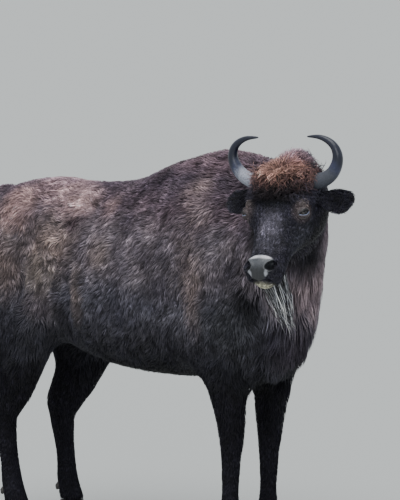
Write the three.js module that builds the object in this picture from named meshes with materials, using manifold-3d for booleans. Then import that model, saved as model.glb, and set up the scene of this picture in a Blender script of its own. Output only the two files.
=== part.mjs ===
// A standing wisent (European bison), life size, its head turned to its right: a still display model.
// Units are millimetres. +X is the way the trunk faces, +Y its left side, +Z up; the soles are at Z = 0.
// Every outline is the outside of the coat. The flesh is one smooth field, meshed in zones and parted
// by thin cuts.
import * as THREE from "three";
import { mergeVertices } from "three/addons/utils/BufferGeometryUtils.js";
import { edgeTable, triTable } from "three/addons/objects/MarchingCubes.js";
import Module from "manifold-3d";

const wasm = await Module();
wasm.setup();

// ---------- Driving dimensions ----------

const SEAM = 0.4; // clear gap between touching pieces
const LEG_CUT = 655; // height at which a leg parts from the trunk
const KNEE_CUT = 430; // height at which a leg's upper part meets its shank
const CORONET = 82; // top of the hoof
const REAR_CUT = -330; // trunk planes across X
const FORE_CUT = 250;

const FORE_LINE = 560; // X of the forelegs' axis
const FORE_STANCE = 108; // half the distance between a pair of feet
const HIND_STANCE = 126;
const EYE_RADIUS = 20;
const EYE_FACES = [12, 9]; // around and over
const DEWCLAW = { apart: 22, height: 150 }; // from the leg's middle, and above the floor

// Cell sizes of the meshing grids, from coarse trunk to fine head.
const CELL = { torso: 80, head: 36 };

const HEAD_TURN = THREE.MathUtils.degToRad(-73); // heading of the face from +X, to the animal's right
const HEAD_DROP = THREE.MathUtils.degToRad(53); // the face's slope below level
const HEAD_TILT = THREE.MathUtils.degToRad(6); // the left horn's lift above the right one
const POLL = new THREE.Vector3(1014, -232, 1588); // top of the skull, between the horns

const COLOURS = {
  coat: 0x4a3a34,
  mane: 0x3a2b27,
  face: 0x2c2526,
  leg: 0x1d1718,
  horn: 0x4b4a50,
  eye: 0x120d0c,
  hoof: 0x1b1a1b,
  beard: 0x5c5654,
};

// ---------- Fields: negative inside, and close to a distance near the surface ----------

// A soft union of two fields over a blend of the given width.
function blend(a, b, width) {
  const h = Math.max(width - Math.abs(a - b), 0) / width;
  return Math.min(a, b) - (h * h * width) / 4;
}

// A smooth curve through [x, value] pairs, held level past its ends.
function profile(...knots) {
  const slopes = knots.map((knot, i) => {
    const before = knots[Math.max(i - 1, 0)];
    const after = knots[Math.min(i + 1, knots.length - 1)];
    return (after[1] - before[1]) / (after[0] - before[0]);
  });
  return (x) => {
    if (x <= knots[0][0]) return knots[0][1];
    const i = knots.findIndex((knot) => knot[0] >= x);
    if (i < 0) return knots[knots.length - 1][1];
    const [x0, y0] = knots[i - 1];
    const [x1, y1] = knots[i];
    const span = x1 - x0;
    const t = (x - x0) / span;
    const u = 1 - t;
    return (
      u * u * (1 + 2 * t) * y0 +
      t * t * (3 - 2 * t) * y1 +
      t * u * (u * slopes[i - 1] - t * slopes[i]) * span
    );
  };
}

// A tube with a different outline at each place along its first axis: sizes are profiles of that axis.
function loft({ from, to, top, low, half, widest, ridge, keel }) {
  return (along, across, up) => {
    const at = THREE.MathUtils.clamp(along, from, to);
    const middle = THREE.MathUtils.lerp(low(at), top(at), widest);
    const above = up > middle;
    const rise = above ? top(at) - middle : middle - low(at);
    const power = above ? ridge : keel;
    const ratio =
      (Math.abs(across / half(at)) ** power + Math.abs((up - middle) / rise) ** power) ** (1 / power);
    const depth = (ratio - 1) * Math.min(half(at), rise);
    const past = Math.max(from - along, along - to, 0);
    return past > 0 ? Math.hypot(Math.max(depth, 0), past) + Math.min(depth, 0) * 0.01 : depth;
  };
}

// An ellipsoid, turned by Euler angles in degrees if it has any.
function ellipsoid(centre, radii, turn = [0, 0, 0]) {
  const middle = new THREE.Vector3(...centre);
  const size = new THREE.Vector3(...radii);
  const unturn = new THREE.Quaternion()
    .setFromEuler(new THREE.Euler(...turn.map(THREE.MathUtils.degToRad)))
    .invert();
  const near = new THREE.Vector3();
  return (point) => {
    near.copy(point).sub(middle).applyQuaternion(unturn).divide(size);
    const ratio = near.length();
    const steepness = near.divide(size).length();
    return ratio < 1e-6 ? -Math.min(...radii) : (ratio * (ratio - 1)) / steepness;
  };
}

// A limb through joints [x, y, z, depth, width]: depth is its radius fore and aft, width across.
function limb(joints, across = new THREE.Vector3(0, 1, 0)) {
  const bones = joints.slice(1).map((end, i) => {
    const a = new THREE.Vector3(...joints[i]);
    const b = new THREE.Vector3(...end);
    return { a, run: b.sub(a), from: joints[i].slice(3), to: end.slice(3) };
  });
  const off = new THREE.Vector3();
  return (point) => {
    let least = Infinity;
    for (const { a, run, from, to } of bones) {
      const t = THREE.MathUtils.clamp(off.copy(point).sub(a).dot(run) / run.lengthSq(), 0, 1);
      const depth = THREE.MathUtils.lerp(from[0], to[0], t);
      const width = THREE.MathUtils.lerp(from[1], to[1], t);
      off.addScaledVector(run, -t);
      const side = off.dot(across);
      const rest = Math.sqrt(Math.max(off.lengthSq() - side * side, 0));
      const ratio = Math.hypot(side / width, rest / depth);
      least = Math.min(least, (ratio - 1) * Math.min(depth, width));
    }
    return least;
  };
}

// ---------- Trunk ----------

const trunkLoft = loft({
  from: -905,
  to: 850,
  top: profile([-905, 1235], [-860, 1292], [-790, 1348], [-715, 1396], [-600, 1432], [-420, 1440],
    [-230, 1445], [-20, 1475], [150, 1545], [300, 1588], [430, 1604], [560, 1600], [700, 1545], [850, 1400]),
  low: profile([-905, 1160], [-820, 985], [-640, 850], [-400, 770], [-150, 700], [120, 682],
    [380, 690], [560, 700], [700, 760], [850, 940]),
  half: profile([-905, 60], [-820, 165], [-640, 232], [-420, 268], [-150, 300], [80, 308],
    [320, 285], [560, 240], [720, 176], [850, 90]),
  widest: 0.42,
  ridge: 1.85,
  keel: 2.25,
});

// The masses that stand out of the trunk, one of each pair to a side.
const TRUNK_MASSES = [
  { centre: [-560, 150, 1240], radii: [190, 125, 155], turn: [0, 14, 0], width: 130 }, // hip
  { centre: [-850, 92, 1165], radii: [95, 78, 150], turn: [0, -12, 0], width: 110 }, // pin bone
  { centre: [-672, 156, 1005], radii: [208, 118, 262], turn: [0, -14, 0], width: 110 }, // thigh
  { centre: [-650, 152, 800], radii: [92, 84, 195], turn: [0, -16, 0], width: 90 }, // hamstring
  { centre: [455, 165, 1120], radii: [190, 118, 330], turn: [0, -10, 0], width: 130 }, // shoulder blade
  { centre: [558, 148, 890], radii: [132, 98, 185], turn: [0, 8, 0], width: 90 }, // upper arm
].flatMap(({ centre: [x, y, z], radii, turn, width }) =>
  [1, -1].map((side) => ({ shape: ellipsoid([x, side * y, z], radii, turn), width })),
);

// The mane and dewlap hang from the throat to between the forelegs, swung a little after the head.
const MANE_MASSES = [
  { shape: ellipsoid([725, -18, 1120], [150, 148, 290], [0, 12, 0]), width: 110 },
  { shape: ellipsoid([740, -40, 905], [100, 105, 180], [0, -10, 0]), width: 110 },
  { shape: ellipsoid([835, -95, 1215], [125, 130, 220], [0, 20, 0]), width: 110 },
];

// The neck swings from the withers' line round to the poll.
const neckLimb = limb([
  [600, 0, 1230, 330, 195],
  [760, -22, 1310, 228, 150],
  [885, -92, 1392, 175, 130],
  [955, -165, 1445, 150, 122],
], new THREE.Vector3(Math.sin(0.35), Math.cos(0.35), 0));

function trunkField(point) {
  let value = trunkLoft(point.x, point.y, point.z);
  for (const { shape, width } of TRUNK_MASSES) value = blend(value, shape(point), width);
  return value;
}

function neckField(point) {
  let value = neckLimb(point);
  for (const { shape, width } of MANE_MASSES) value = blend(value, shape(point), width);
  return value;
}

// ---------- Legs ----------

// Joints from the floor up, [x, y, z, depth, width]; a hind leg may stand back from its mate.
const foreJoints = (side) => [
  [FORE_LINE + 22, side * FORE_STANCE, 70, 46, 48], // pastern
  [FORE_LINE - 6, side * FORE_STANCE, 150, 44, 43], // fetlock
  [FORE_LINE - 4, side * FORE_STANCE, 250, 34, 33],
  [FORE_LINE, side * FORE_STANCE, 385, 42, 39],
  [FORE_LINE + 4, side * 108, 455, 53, 48], // knee
  [FORE_LINE + 2, side * 112, 545, 68, 56],
  [FORE_LINE, side * 126, 660, 94, 70],
  [FORE_LINE - 5, side * 150, 840, 106, 84], // elbow
];

const hindJoints = (side, back) => [
  [-590 - back, side * HIND_STANCE, 70, 47, 48],
  [-625 - back, side * HIND_STANCE, 160, 46, 43],
  [-640 - back, side * 130, 280, 38, 35],
  [-666 - back, side * 134, 420, 61, 45],
  [-665 - back, side * 138, 490, 90, 54], // hock
  [-636 - back, side * 143, 535, 106, 61],
  [-597 - back * 0.9, side * 150, 600, 122, 70],
  [-560 - back * 0.7, side * 162, 665, 121, 78],
  [-527 - back * 0.5, side * 174, 750, 126, 86],
  [-470 - back * 0.3, side * 185, 880, 150, 95], // stifle
];

const LEG_BLEND = 42; // width of the fillet between a leg and the trunk
const RIGHT_HIND_BACK = 65; // how far the right hind foot stands behind the left one

const LEGS = [
  { name: "foreleg_left", joints: foreJoints(1), heel: -62 },
  { name: "foreleg_right", joints: foreJoints(-1), heel: -62 },
  { name: "hindleg_left", joints: hindJoints(1, 0), heel: -70 },
  { name: "hindleg_right", joints: hindJoints(-1, RIGHT_HIND_BACK), heel: -70 },
].map((leg) => ({
  ...leg,
  shape: limb(leg.joints),
  middle: [0, 1].map((axis) => profile(...leg.joints.map((joint) => [joint[2], joint[axis]]))),
  hoof: { x: leg.joints[0][0] + 8, y: leg.joints[0][1] },
}));

// ---------- Head ----------

// The head's own frame: X down the face to the nose, Y to the animal's left, Z out of the forehead.
const heading = new THREE.Vector3(Math.cos(HEAD_TURN), Math.sin(HEAD_TURN), 0);
const up = new THREE.Vector3(0, 0, 1);
const faceAxis = heading
  .clone()
  .multiplyScalar(Math.cos(HEAD_DROP))
  .addScaledVector(up, -Math.sin(HEAD_DROP));
const browAxis = heading
  .clone()
  .multiplyScalar(Math.sin(HEAD_DROP))
  .addScaledVector(up, Math.cos(HEAD_DROP));
browAxis.applyAxisAngle(faceAxis, HEAD_TILT);
const leftAxis = new THREE.Vector3().crossVectors(browAxis, faceAxis);
const headFrame = new THREE.Matrix4().makeBasis(faceAxis, leftAxis, browAxis).setPosition(POLL);
const toHead = headFrame.clone().invert();

const skullLoft = loft({
  from: -40,
  to: 492,
  top: profile([-40, 25], [30, 55], [110, 58], [190, 42], [270, 26], [350, 16], [420, 12], [465, 2],
    [492, -22]),
  low: profile([-40, -150], [60, -205], [140, -218], [210, -196], [290, -158], [370, -128], [430, -116],
    [470, -100], [492, -74]),
  half: profile([-40, 92], [60, 118], [140, 120], [210, 108], [290, 88], [370, 75], [430, 74], [470, 68],
    [492, 46]),
  widest: 0.62,
  ridge: 2.5,
  keel: 2.1,
});

const EYE = [214, 127, 8];

const HEAD_MASSES = [
  { shape: ellipsoid([70, 0, 30], [88, 134, 72]), width: 36 }, // forelock
  { shape: ellipsoid([-22, 18, 2], [62, 68, 60]), width: 36 }, // crown
  { shape: ellipsoid([446, 0, -40], [50, 74, 50]), width: 30 }, // nose
  { shape: ellipsoid([452, 0, -98], [42, 54, 30]), width: 24 }, // chin
  ...[1, -1].flatMap((side) => [
    { shape: ellipsoid([204, side * 114, 2], [54, 30, 42], [0, 0, -side * 12]), width: 34 }, // orbit
    { shape: ellipsoid([62, side * 96, -4], [50, 62, 48]), width: 40 }, // horn boss
    { shape: ellipsoid([165, side * 66, -105], [105, 44, 84], [0, -12, 0]), width: 60 }, // cheek
  ]),
];

function headField(point) {
  const near = point.clone().applyMatrix4(toHead);
  let value = skullLoft(near.x, near.y, near.z);
  for (const { shape, width } of HEAD_MASSES) value = blend(value, shape(near), width);
  return value;
}

// ---------- The whole animal ----------

function bodyField(point) {
  let value = trunkField(point);
  value = blend(value, neckField(point), 130);
  for (const { shape } of LEGS) value = blend(value, shape(point), LEG_BLEND);
  return blend(value, headField(point), 70);
}

// ---------- Meshing ----------

const CORNERS = [[0, 0, 0], [1, 0, 0], [1, 1, 0], [0, 1, 0], [0, 0, 1], [1, 0, 1], [1, 1, 1], [0, 1, 1]];
const EDGES = [[0, 1], [1, 2], [2, 3], [3, 0], [4, 5], [5, 6], [6, 7], [7, 4],
  [0, 4], [1, 5], [2, 6], [3, 7]];

// The field's zero surface inside a box, closed where the box cuts it, by marching cubes.
function march(field, low, high, cell) {
  const count = [0, 1, 2].map((i) => Math.ceil((high[i] - low[i]) / cell) + 1);
  const place = (i, j, k) => new THREE.Vector3(low[0] + i * cell, low[1] + j * cell, low[2] + k * cell);
  const index = (i, j, k) => i + count[0] * (j + count[1] * k);
  const values = new Float64Array(count[0] * count[1] * count[2]);
  for (let k = 0; k < count[2]; k++)
    for (let j = 0; j < count[1]; j++)
      for (let i = 0; i < count[0]; i++) {
        const edge = [i, j, k].some((n, axis) => n === 0 || n === count[axis] - 1);
        const value = field(place(i, j, k));
        values[index(i, j, k)] = edge ? Math.max(value, cell / 2) : value;
      }
  const least = cell * 0.06; // keeps a corner off the surface, so that no sliver forms
  values.forEach((value, i) => {
    if (Math.abs(value) < least) values[i] = value < 0 ? -least : least;
  });
  const points = [];
  const faces = [];
  const made = new Map();
  const vertex = (a, b) => {
    const [ia, ib] = [index(...a), index(...b)];
    const key = ia < ib ? ia * values.length + ib : ib * values.length + ia;
    if (!made.has(key)) {
      const t = values[ia] / (values[ia] - values[ib]);
      made.set(key, points.push(place(...a).lerp(place(...b), t)) - 1);
    }
    return made.get(key);
  };
  for (let k = 0; k < count[2] - 1; k++)
    for (let j = 0; j < count[1] - 1; j++)
      for (let i = 0; i < count[0] - 1; i++) {
        const corners = CORNERS.map(([x, y, z]) => [i + x, j + y, k + z]);
        const code = corners.reduce((sum, c, n) => sum + (values[index(...c)] > 0 ? 1 << n : 0), 0);
        if (!edgeTable[code]) continue;
        for (let n = code * 16; triTable[n] >= 0; n += 3)
          faces.push([0, 1, 2].map((m) => vertex(...EDGES[triTable[n + m]].map((c) => corners[c]))));
      }
  return { points, faces };
}

// Evens out the triangles and draws each point back onto the field, apart from those on the box.
function relax({ points, faces }, field, low, high, cell, rounds = 8) {
  const ring = points.map(() => new Set());
  faces.forEach(([a, b, c]) => {
    ring[a].add(b).add(c);
    ring[b].add(a).add(c);
    ring[c].add(a).add(b);
  });
  const onBox = points.map((p) =>
    p.toArray().some((v, i) => v < low[i] + cell * 1.05 || v > high[i] - cell * 1.05),
  );
  const step = 2;
  const slope = new THREE.Vector3();
  const probe = new THREE.Vector3();
  for (let round = 0; round < rounds; round++)
    points.forEach((p, i) => {
      if (onBox[i]) return;
      const middle = new THREE.Vector3();
      ring[i].forEach((n) => middle.add(points[n]));
      p.lerp(middle.divideScalar(ring[i].size), 0.5);
      const value = field(p);
      ["x", "y", "z"].forEach((axis) => {
        probe.copy(p)[axis] += step;
        slope[axis] = (field(probe) - value) / step;
      });
      const pull = THREE.MathUtils.clamp(value / Math.max(slope.lengthSq(), 0.2), -cell / 3, cell / 3);
      p.addScaledVector(slope, -pull);
    });
}

// ---------- Solids ----------

function solidOf(geometry) {
  const bare = geometry.index ? geometry.toNonIndexed() : geometry.clone();
  const shape = new THREE.BufferGeometry().setAttribute("position", bare.getAttribute("position"));
  const merged = mergeVertices(shape, 1e-3);
  return new wasm.Manifold(
    new wasm.Mesh({
      numProp: 3,
      vertProperties: new Float32Array(merged.attributes.position.array),
      triVerts: new Uint32Array(merged.index.array),
    }),
  );
}

function geometryOf(points, faces) {
  const geometry = new THREE.BufferGeometry();
  const places = new Float32Array(points.flatMap((p) => p.toArray()));
  geometry.setAttribute("position", new THREE.BufferAttribute(places, 3));
  geometry.setIndex(faces.flat());
  return geometry;
}

// Meshes a field over a box, given in a frame of its own, as one solid.
function fieldSolid(field, low, high, cell, frame = new THREE.Matrix4()) {
  const spot = new THREE.Vector3();
  const local = (point) => field(spot.copy(point).applyMatrix4(frame));
  const mesh = march(local, low, high, cell);
  relax(mesh, local, low, high, cell);
  mesh.points.forEach((point) => point.applyMatrix4(frame));
  return solidOf(geometryOf(mesh.points, mesh.faces));
}

// A solid through rings of points, its two ends closed on their middles.
function ringLoft(rings) {
  const sides = rings[0].length;
  const last = (rings.length - 1) * sides;
  const points = rings.flat();
  const middleOf = (ring) =>
    ring.reduce((sum, point) => sum.add(point), new THREE.Vector3()).divideScalar(ring.length);
  const bottom = points.push(middleOf(rings[0])) - 1;
  const top = points.push(middleOf(rings[rings.length - 1])) - 1;
  const faces = [];
  for (let k = 0; k < sides; k++) {
    const next = (k + 1) % sides;
    faces.push([bottom, next, k], [top, last + k, last + next]);
    for (let i = 0; i < last; i += sides)
      faces.push([i + k, i + next, i + next + sides], [i + k, i + next + sides, i + k + sides]);
  }
  const solid = solidOf(geometryOf(points, faces));
  return solid.volume() > 0 ? solid : solidOf(geometryOf(points, faces.map(([a, b, c]) => [a, c, b])));
}

// A ring of points cast outwards, level, from a centre inside a field to its surface.
function castRing(field, centre, sides, reach) {
  const probe = new THREE.Vector3();
  const outside = (ray, distance) => field(probe.copy(centre).addScaledVector(ray, distance)) > 0;
  return Array.from({ length: sides }, (_, k) => {
    const angle = (2 * Math.PI * k) / sides;
    const ray = new THREE.Vector3(Math.cos(angle), Math.sin(angle), 0);
    let near = 0;
    while (near < reach && !outside(ray, near + 4)) near += 4;
    let far = near + 4;
    for (let n = 0; n < 10; n++) {
      const half = (near + far) / 2;
      if (outside(ray, half)) far = half;
      else near = half;
    }
    return centre.clone().addScaledVector(ray, near);
  });
}

// A block with one face through a point, filling the side that the normal points to.
function halfSpace(point, normal, gap) {
  const size = 4000;
  const block = new THREE.BoxGeometry(size, size, size);
  block.translate(0, 0, size / 2 + gap);
  block.applyQuaternion(new THREE.Quaternion().setFromUnitVectors(up, normal.clone().normalize()));
  block.translate(...point.toArray());
  return solidOf(block);
}

// Parts a solid by a plane into the side behind it and the side ahead, a seam apart.
function part(solid, point, normal) {
  return {
    behind: solid.subtract(halfSpace(point, normal, -SEAM / 2)),
    ahead: solid.subtract(halfSpace(point, normal.clone().negate(), -SEAM / 2)),
  };
}

// The largest body of a solid, for where a cut leaves crumbs.
function largest(solid) {
  return solid.decompose().sort((a, b) => b.volume() - a.volume())[0];
}

// A closed tube through centres [x, y, z, radius], flattened across by a ratio.
function tube(stations, sides, { grow = 0, flat = 1, fineness = 2 } = {}) {
  const curve = new THREE.CatmullRomCurve3(stations.map(([x, y, z]) => new THREE.Vector3(x, y, z)));
  const radius = profile(...stations.map(([, , , r], i) => [i, r]));
  const steps = (stations.length - 1) * fineness;
  const side = new THREE.Vector3();
  const normal = new THREE.Vector3(0, 1, 0);
  const rings = Array.from({ length: steps + 1 }, (_, i) => {
    const along = curve.getTangent(i / steps);
    side.crossVectors(along, normal).normalize();
    normal.crossVectors(side, along).normalize();
    const centre = curve.getPoint(i / steps);
    const r = radius(i / fineness) + grow;
    return Array.from({ length: sides }, (__, k) => {
      const angle = (2 * Math.PI * k) / sides;
      return centre
        .clone()
        .addScaledVector(side, r * Math.cos(angle))
        .addScaledVector(normal, r * flat * Math.sin(angle));
    });
  });
  return ringLoft(rings);
}

// Carries stations in the head's frame into the part's.
const fromHead = (stations) =>
  stations.map(([x, y, z, radius]) => [...new THREE.Vector3(x, y, z).applyMatrix4(headFrame), radius]);

// ---------- Horns, ears, eyes, tail, beard, feet ----------

// A horn leaves the boss sideways, swings up and curls in: [side, rise, radius] in its slanting plane.
const HORN_TILT = THREE.MathUtils.degToRad(46);
const HORN = [[105, -4, 36], [152, 0, 33], [196, 18, 29], [227, 52, 25.5], [241, 92, 22], [233, 130, 18],
  [204, 158, 14], [162, 173, 9.5], [112, 174, 3.5]];
const HORN_ROOT = [58, -4];

function horn(side, grow) {
  const [root, lift] = HORN_ROOT;
  return tube(
    fromHead(HORN.map(([out, rise, radius]) =>
      [root - rise * Math.sin(HORN_TILT), side * out, lift + rise * Math.cos(HORN_TILT), radius])),
    10,
    { grow },
  );
}

// An ear is a broad leaf on a short round stalk, hollow in front. Its lower edge hangs further than
// its upper one.
const EAR_ROOT = [98, 96, -62];
const EAR_TIPS = { left: [98, 268, -86], right: [100, 292, -66] }; // each ear is held in its own way
const EAR = {
  half: profile([0, 24], [0.2, 32], [0.45, 54], [0.7, 60], [0.88, 48], [0.97, 26], [1, 10]),
  thick: profile([0, 24], [0.3, 20], [0.7, 13], [1, 5]),
  hollow: profile([0, 0], [0.3, 8], [0.65, 14], [1, 2]),
  sag: profile([0, 0], [0.5, 8], [0.8, 10], [1, 0]),
  rings: [0, 0.12, 0.26, 0.4, 0.54, 0.68, 0.8, 0.9, 0.97, 1],
  sides: 14,
};

function ear(side, grow) {
  const root = new THREE.Vector3(...EAR_ROOT);
  const axis = new THREE.Vector3(...(side > 0 ? EAR_TIPS.left : EAR_TIPS.right)).sub(root);
  const down = new THREE.Vector3(1, 0, 0).projectOnPlane(axis).normalize();
  const front = new THREE.Vector3().crossVectors(down, axis).normalize();
  const rings = EAR.rings.map((t) =>
    Array.from({ length: EAR.sides }, (_, k) => {
      const angle = (2 * Math.PI * k) / EAR.sides;
      const across = Math.cos(angle);
      const out = (EAR.thick(t) + grow) * Math.sin(angle) - EAR.hollow(t) * (1 - across * across);
      return root
        .clone()
        .addScaledVector(axis, t * (1 + grow / axis.length()))
        .addScaledVector(down, EAR.sag(t) + (EAR.half(t) + grow) * across)
        .addScaledVector(front, out);
    }),
  );
  rings.flat().forEach((point) => point.setY(side * point.y).applyMatrix4(headFrame));
  return ringLoft(rings);
}

// The tail leaves the croup, falls behind the thighs and ends in a switch of long hair.
const TAIL = [[-700, 0, 1356, 42], [-780, 0, 1357, 45], [-855, 0, 1350, 44], [-918, 0, 1326, 40],
  [-962, 3, 1250, 35], [-980, 7, 1150, 30],
  [-984, 9, 1010, 29],
  [-976, 10, 870, 34], [-968, 8, 740, 42], [-964, 6, 620, 34], [-962, 4, 530, 8]];
const TAIL_PARTING = 900;

// The beard hangs from the chin, back towards the throat and a little to the left.
const BEARD_ROOT = [436, 0, -94];
const BEARD_HANG = { back: 110, left: 30, down: 226 };

function beard(grow) {
  const hang = new THREE.Vector3(0, 0, -BEARD_HANG.down)
    .addScaledVector(heading, -BEARD_HANG.back)
    .addScaledVector(leftAxis, BEARD_HANG.left);
  const root = new THREE.Vector3(...BEARD_ROOT).applyMatrix4(headFrame);
  const thickness = profile([0, 34], [0.25, 38], [0.6, 27], [0.85, 15], [1, 6]);
  const stations = [0, 0.2, 0.4, 0.6, 0.8, 1].map((t) => [
    ...root.clone().addScaledVector(hang, t).toArray(),
    thickness(t),
  ]);
  return tube(stations, 8, { grow, flat: 1.15, fineness: 1 });
}

// Half of a cloven foot: a wall of even slope over a D-shaped sole.
const CLAW = { length: 118, width: 47, toeLean: 30, cleft: 3, pinch: 0.28, sides: 14 };

function claw(x, y, side) {
  const outline = (z, length, width, shift) =>
    Array.from({ length: CLAW.sides }, (_, i) => {
      const angle = (2 * Math.PI * i) / CLAW.sides;
      const toe = Math.max(Math.cos(angle), 0) ** 2;
      const across = ((Math.sin(angle) + 1) / 2) * width * (1 - CLAW.pinch * toe);
      const ahead = shift + (Math.cos(angle) * length) / 2;
      return new THREE.Vector3(x + ahead, y + side * (CLAW.cleft + across), z);
    });
  return ringLoft([
    outline(0, CLAW.length, CLAW.width, 0),
    outline(CORONET - SEAM, CLAW.length - CLAW.toeLean, CLAW.width - 6, -CLAW.toeLean / 2),
  ]);
}

// A short horny nub behind the fetlock, pointing down.
function dewclaw(x, y, z, grow) {
  const stations = [[34, 10, 15], [12, 0, 16], [-6, -16, 14], [-14, -30, 6]];
  const path = stations.map(([back, drop, radius]) => [x + back, y, z + drop, radius]);
  return tube(path, 6, { grow, fineness: 1 });
}

// ---------- Assembly ----------

const wisent = new THREE.Group();

function addNode(name, solid, colour, roughness = 0.9) {
  const { numProp, vertProperties, triVerts, numVert } = solid.getMesh();
  const places = new Float32Array(numVert * 3);
  for (let i = 0; i < numVert; i++)
    places.set(vertProperties.subarray(i * numProp, i * numProp + 3), i * 3);
  const geometry = new THREE.BufferGeometry();
  geometry.setAttribute("position", new THREE.BufferAttribute(places, 3));
  geometry.setIndex(new THREE.BufferAttribute(triVerts, 1));
  geometry.computeVertexNormals();
  const material = new THREE.MeshStandardMaterial({ color: colour, roughness, metalness: 0 });
  const mesh = new THREE.Mesh(geometry, material);
  mesh.name = name;
  wisent.add(mesh);
}

const xAxis = new THREE.Vector3(1, 0, 0);

// Tail and its pocket in the croup.
const tailSolid = tube(TAIL, 8);
const tailPocket = tube(TAIL, 8, { grow: SEAM });
const tailCut = part(tailSolid, new THREE.Vector3(0, 0, TAIL_PARTING), up);
addNode("tail_dock", largest(tailCut.ahead), COLOURS.coat);
addNode("tail_switch", largest(tailCut.behind), COLOURS.leg);

// Trunk and neck come from one mesh, cut by planes.
const neckPlane = {
  point: new THREE.Vector3(735, -20, 1300),
  normal: new THREE.Vector3(0.86, -0.2, 0.47),
};
const headPlane = {
  point: new THREE.Vector3(-90, 0, -140).applyMatrix4(headFrame),
  normal: new THREE.Vector3(0.42, 0.3, 0.86).transformDirection(headFrame),
};
const torso = fieldSolid(bodyField, [-1080, -480, LEG_CUT - 140], [1320, 480, 1770], CELL.torso);
const aboveLegs = part(torso, new THREE.Vector3(0, 0, LEG_CUT), up).ahead;
const neckCut = part(aboveLegs, neckPlane.point, neckPlane.normal);
const foreCut = part(neckCut.behind, new THREE.Vector3(FORE_CUT, 0, 0), xAxis);
const rearCut = part(foreCut.behind, new THREE.Vector3(REAR_CUT, 0, 0), xAxis);
addNode("trunk_forequarters", largest(foreCut.ahead), COLOURS.coat);
addNode("trunk_barrel", largest(rearCut.ahead), COLOURS.coat);
addNode("trunk_hindquarters", largest(rearCut.behind.subtract(tailPocket)), COLOURS.coat);
addNode("neck", largest(part(neckCut.ahead, headPlane.point, headPlane.normal).behind), COLOURS.mane);

// Head, with pockets for the eyes, horns, ears and beard.
let head = fieldSolid(bodyField, [-210, -310, -340], [550, 280, 150], CELL.head, headFrame);
head = largest(part(head, headPlane.point, headPlane.normal).ahead).subtract(beard(SEAM));
addNode("beard", beard(0), COLOURS.beard);
for (const [label, side] of [["left", 1], ["right", -1]]) {
  const [x, y, z] = EYE;
  const centre = new THREE.Vector3(x, side * y, z).applyMatrix4(headFrame);
  const ball = (radius) =>
    solidOf(new THREE.SphereGeometry(radius, ...EYE_FACES).translate(...centre.toArray()));
  head = head.subtract(ball(EYE_RADIUS + SEAM)).subtract(horn(side, SEAM)).subtract(ear(side, SEAM));
  addNode(`eye_${label}`, ball(EYE_RADIUS), COLOURS.eye, 0.1);
  addNode(`horn_${label}`, horn(side, 0), COLOURS.horn, 0.45);
  addNode(`ear_${label}`, ear(side, 0), COLOURS.face);
}
addNode("head", largest(head), COLOURS.face);

// Legs, hooves and dewclaws.
const LEG_SIDES = 10;
const LEG_REACH = 180; // further out than any leg's surface
const LEG_RINGS = [CORONET, 112, 136, 160, 192, 250, 320, 385, KNEE_CUT, 462, 500, 540, 580, 620,
  LEG_CUT - SEAM / 2];
for (const { name, shape, middle: [midX, midY], hoof: { x, y }, heel } of LEGS) {
  const field = (p) => blend(trunkField(p), shape(p), LEG_BLEND);
  const rings = LEG_RINGS.map((z) =>
    castRing(field, new THREE.Vector3(midX(z), midY(z), z), LEG_SIDES, LEG_REACH),
  );
  const leg = ringLoft(rings);
  const cut = part(leg, new THREE.Vector3(0, 0, KNEE_CUT), up);
  let shank = cut.behind;
  for (const [label, side] of [["left", 1], ["right", -1]]) {
    const spot = [x + heel, y + side * DEWCLAW.apart, DEWCLAW.height];
    shank = shank.subtract(dewclaw(...spot, SEAM));
    addNode(`${name}_dewclaw_${label}`, dewclaw(...spot, 0), COLOURS.hoof, 0.5);
    addNode(`${name}_hoof_${label}`, claw(x, y, side), COLOURS.hoof, 0.5);
  }
  addNode(`${name}_upper`, largest(cut.ahead), COLOURS.leg);
  addNode(`${name}_shank`, largest(shank), COLOURS.leg);
}

// The origin is under the middle of the whole animal's box, on the floor.
const box = new THREE.Box3().setFromObject(wisent);
const middle = box.getCenter(new THREE.Vector3());
wisent.position.set(-middle.x, -middle.y, -box.min.z);

export default wisent;
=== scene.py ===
"""Dresses the standing wisent: one skin, a coat of solid tufts, eyes with lids, horns and hooves.

Everything is in metres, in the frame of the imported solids: +X the way the trunk faces, +Y the
animal's left side, +Z up. The solids' outline is the outside of the coat, so the skin lies inside it
by the coat's depth, and the tufts rise from the skin back to that outline.
"""

from __future__ import annotations

import logging
import math
from dataclasses import dataclass, field
from enum import Enum
from typing import Any, Callable, Sequence

import bpy
import numpy as np
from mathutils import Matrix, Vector, kdtree


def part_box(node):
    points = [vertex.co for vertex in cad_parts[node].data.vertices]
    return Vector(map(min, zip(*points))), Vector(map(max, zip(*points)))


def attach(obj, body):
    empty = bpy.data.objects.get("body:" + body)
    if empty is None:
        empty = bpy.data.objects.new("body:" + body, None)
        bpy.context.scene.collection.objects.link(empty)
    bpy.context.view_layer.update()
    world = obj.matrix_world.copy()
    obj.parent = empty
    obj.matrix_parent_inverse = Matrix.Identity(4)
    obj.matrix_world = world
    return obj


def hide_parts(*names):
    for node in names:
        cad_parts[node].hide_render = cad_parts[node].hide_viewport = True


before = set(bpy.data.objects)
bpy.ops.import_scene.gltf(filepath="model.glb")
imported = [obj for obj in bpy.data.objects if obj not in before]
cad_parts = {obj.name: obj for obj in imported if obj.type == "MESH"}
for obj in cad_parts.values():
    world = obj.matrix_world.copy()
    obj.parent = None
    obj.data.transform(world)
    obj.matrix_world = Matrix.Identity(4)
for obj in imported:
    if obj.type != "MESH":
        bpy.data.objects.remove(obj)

LOG = logging.getLogger("wisent")
BODY = "root"
SEED = 20261
MIDLINE = 0.1021  # the trunk's middle plane, in y
CORONET = 0.13  # below this height the hair hangs free over the hooves
HAIR_ENDS = 0.070  # below this height no hair grows
Triple = tuple[float, float, float]
Pairs = tuple[tuple[float, float], ...]

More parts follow.
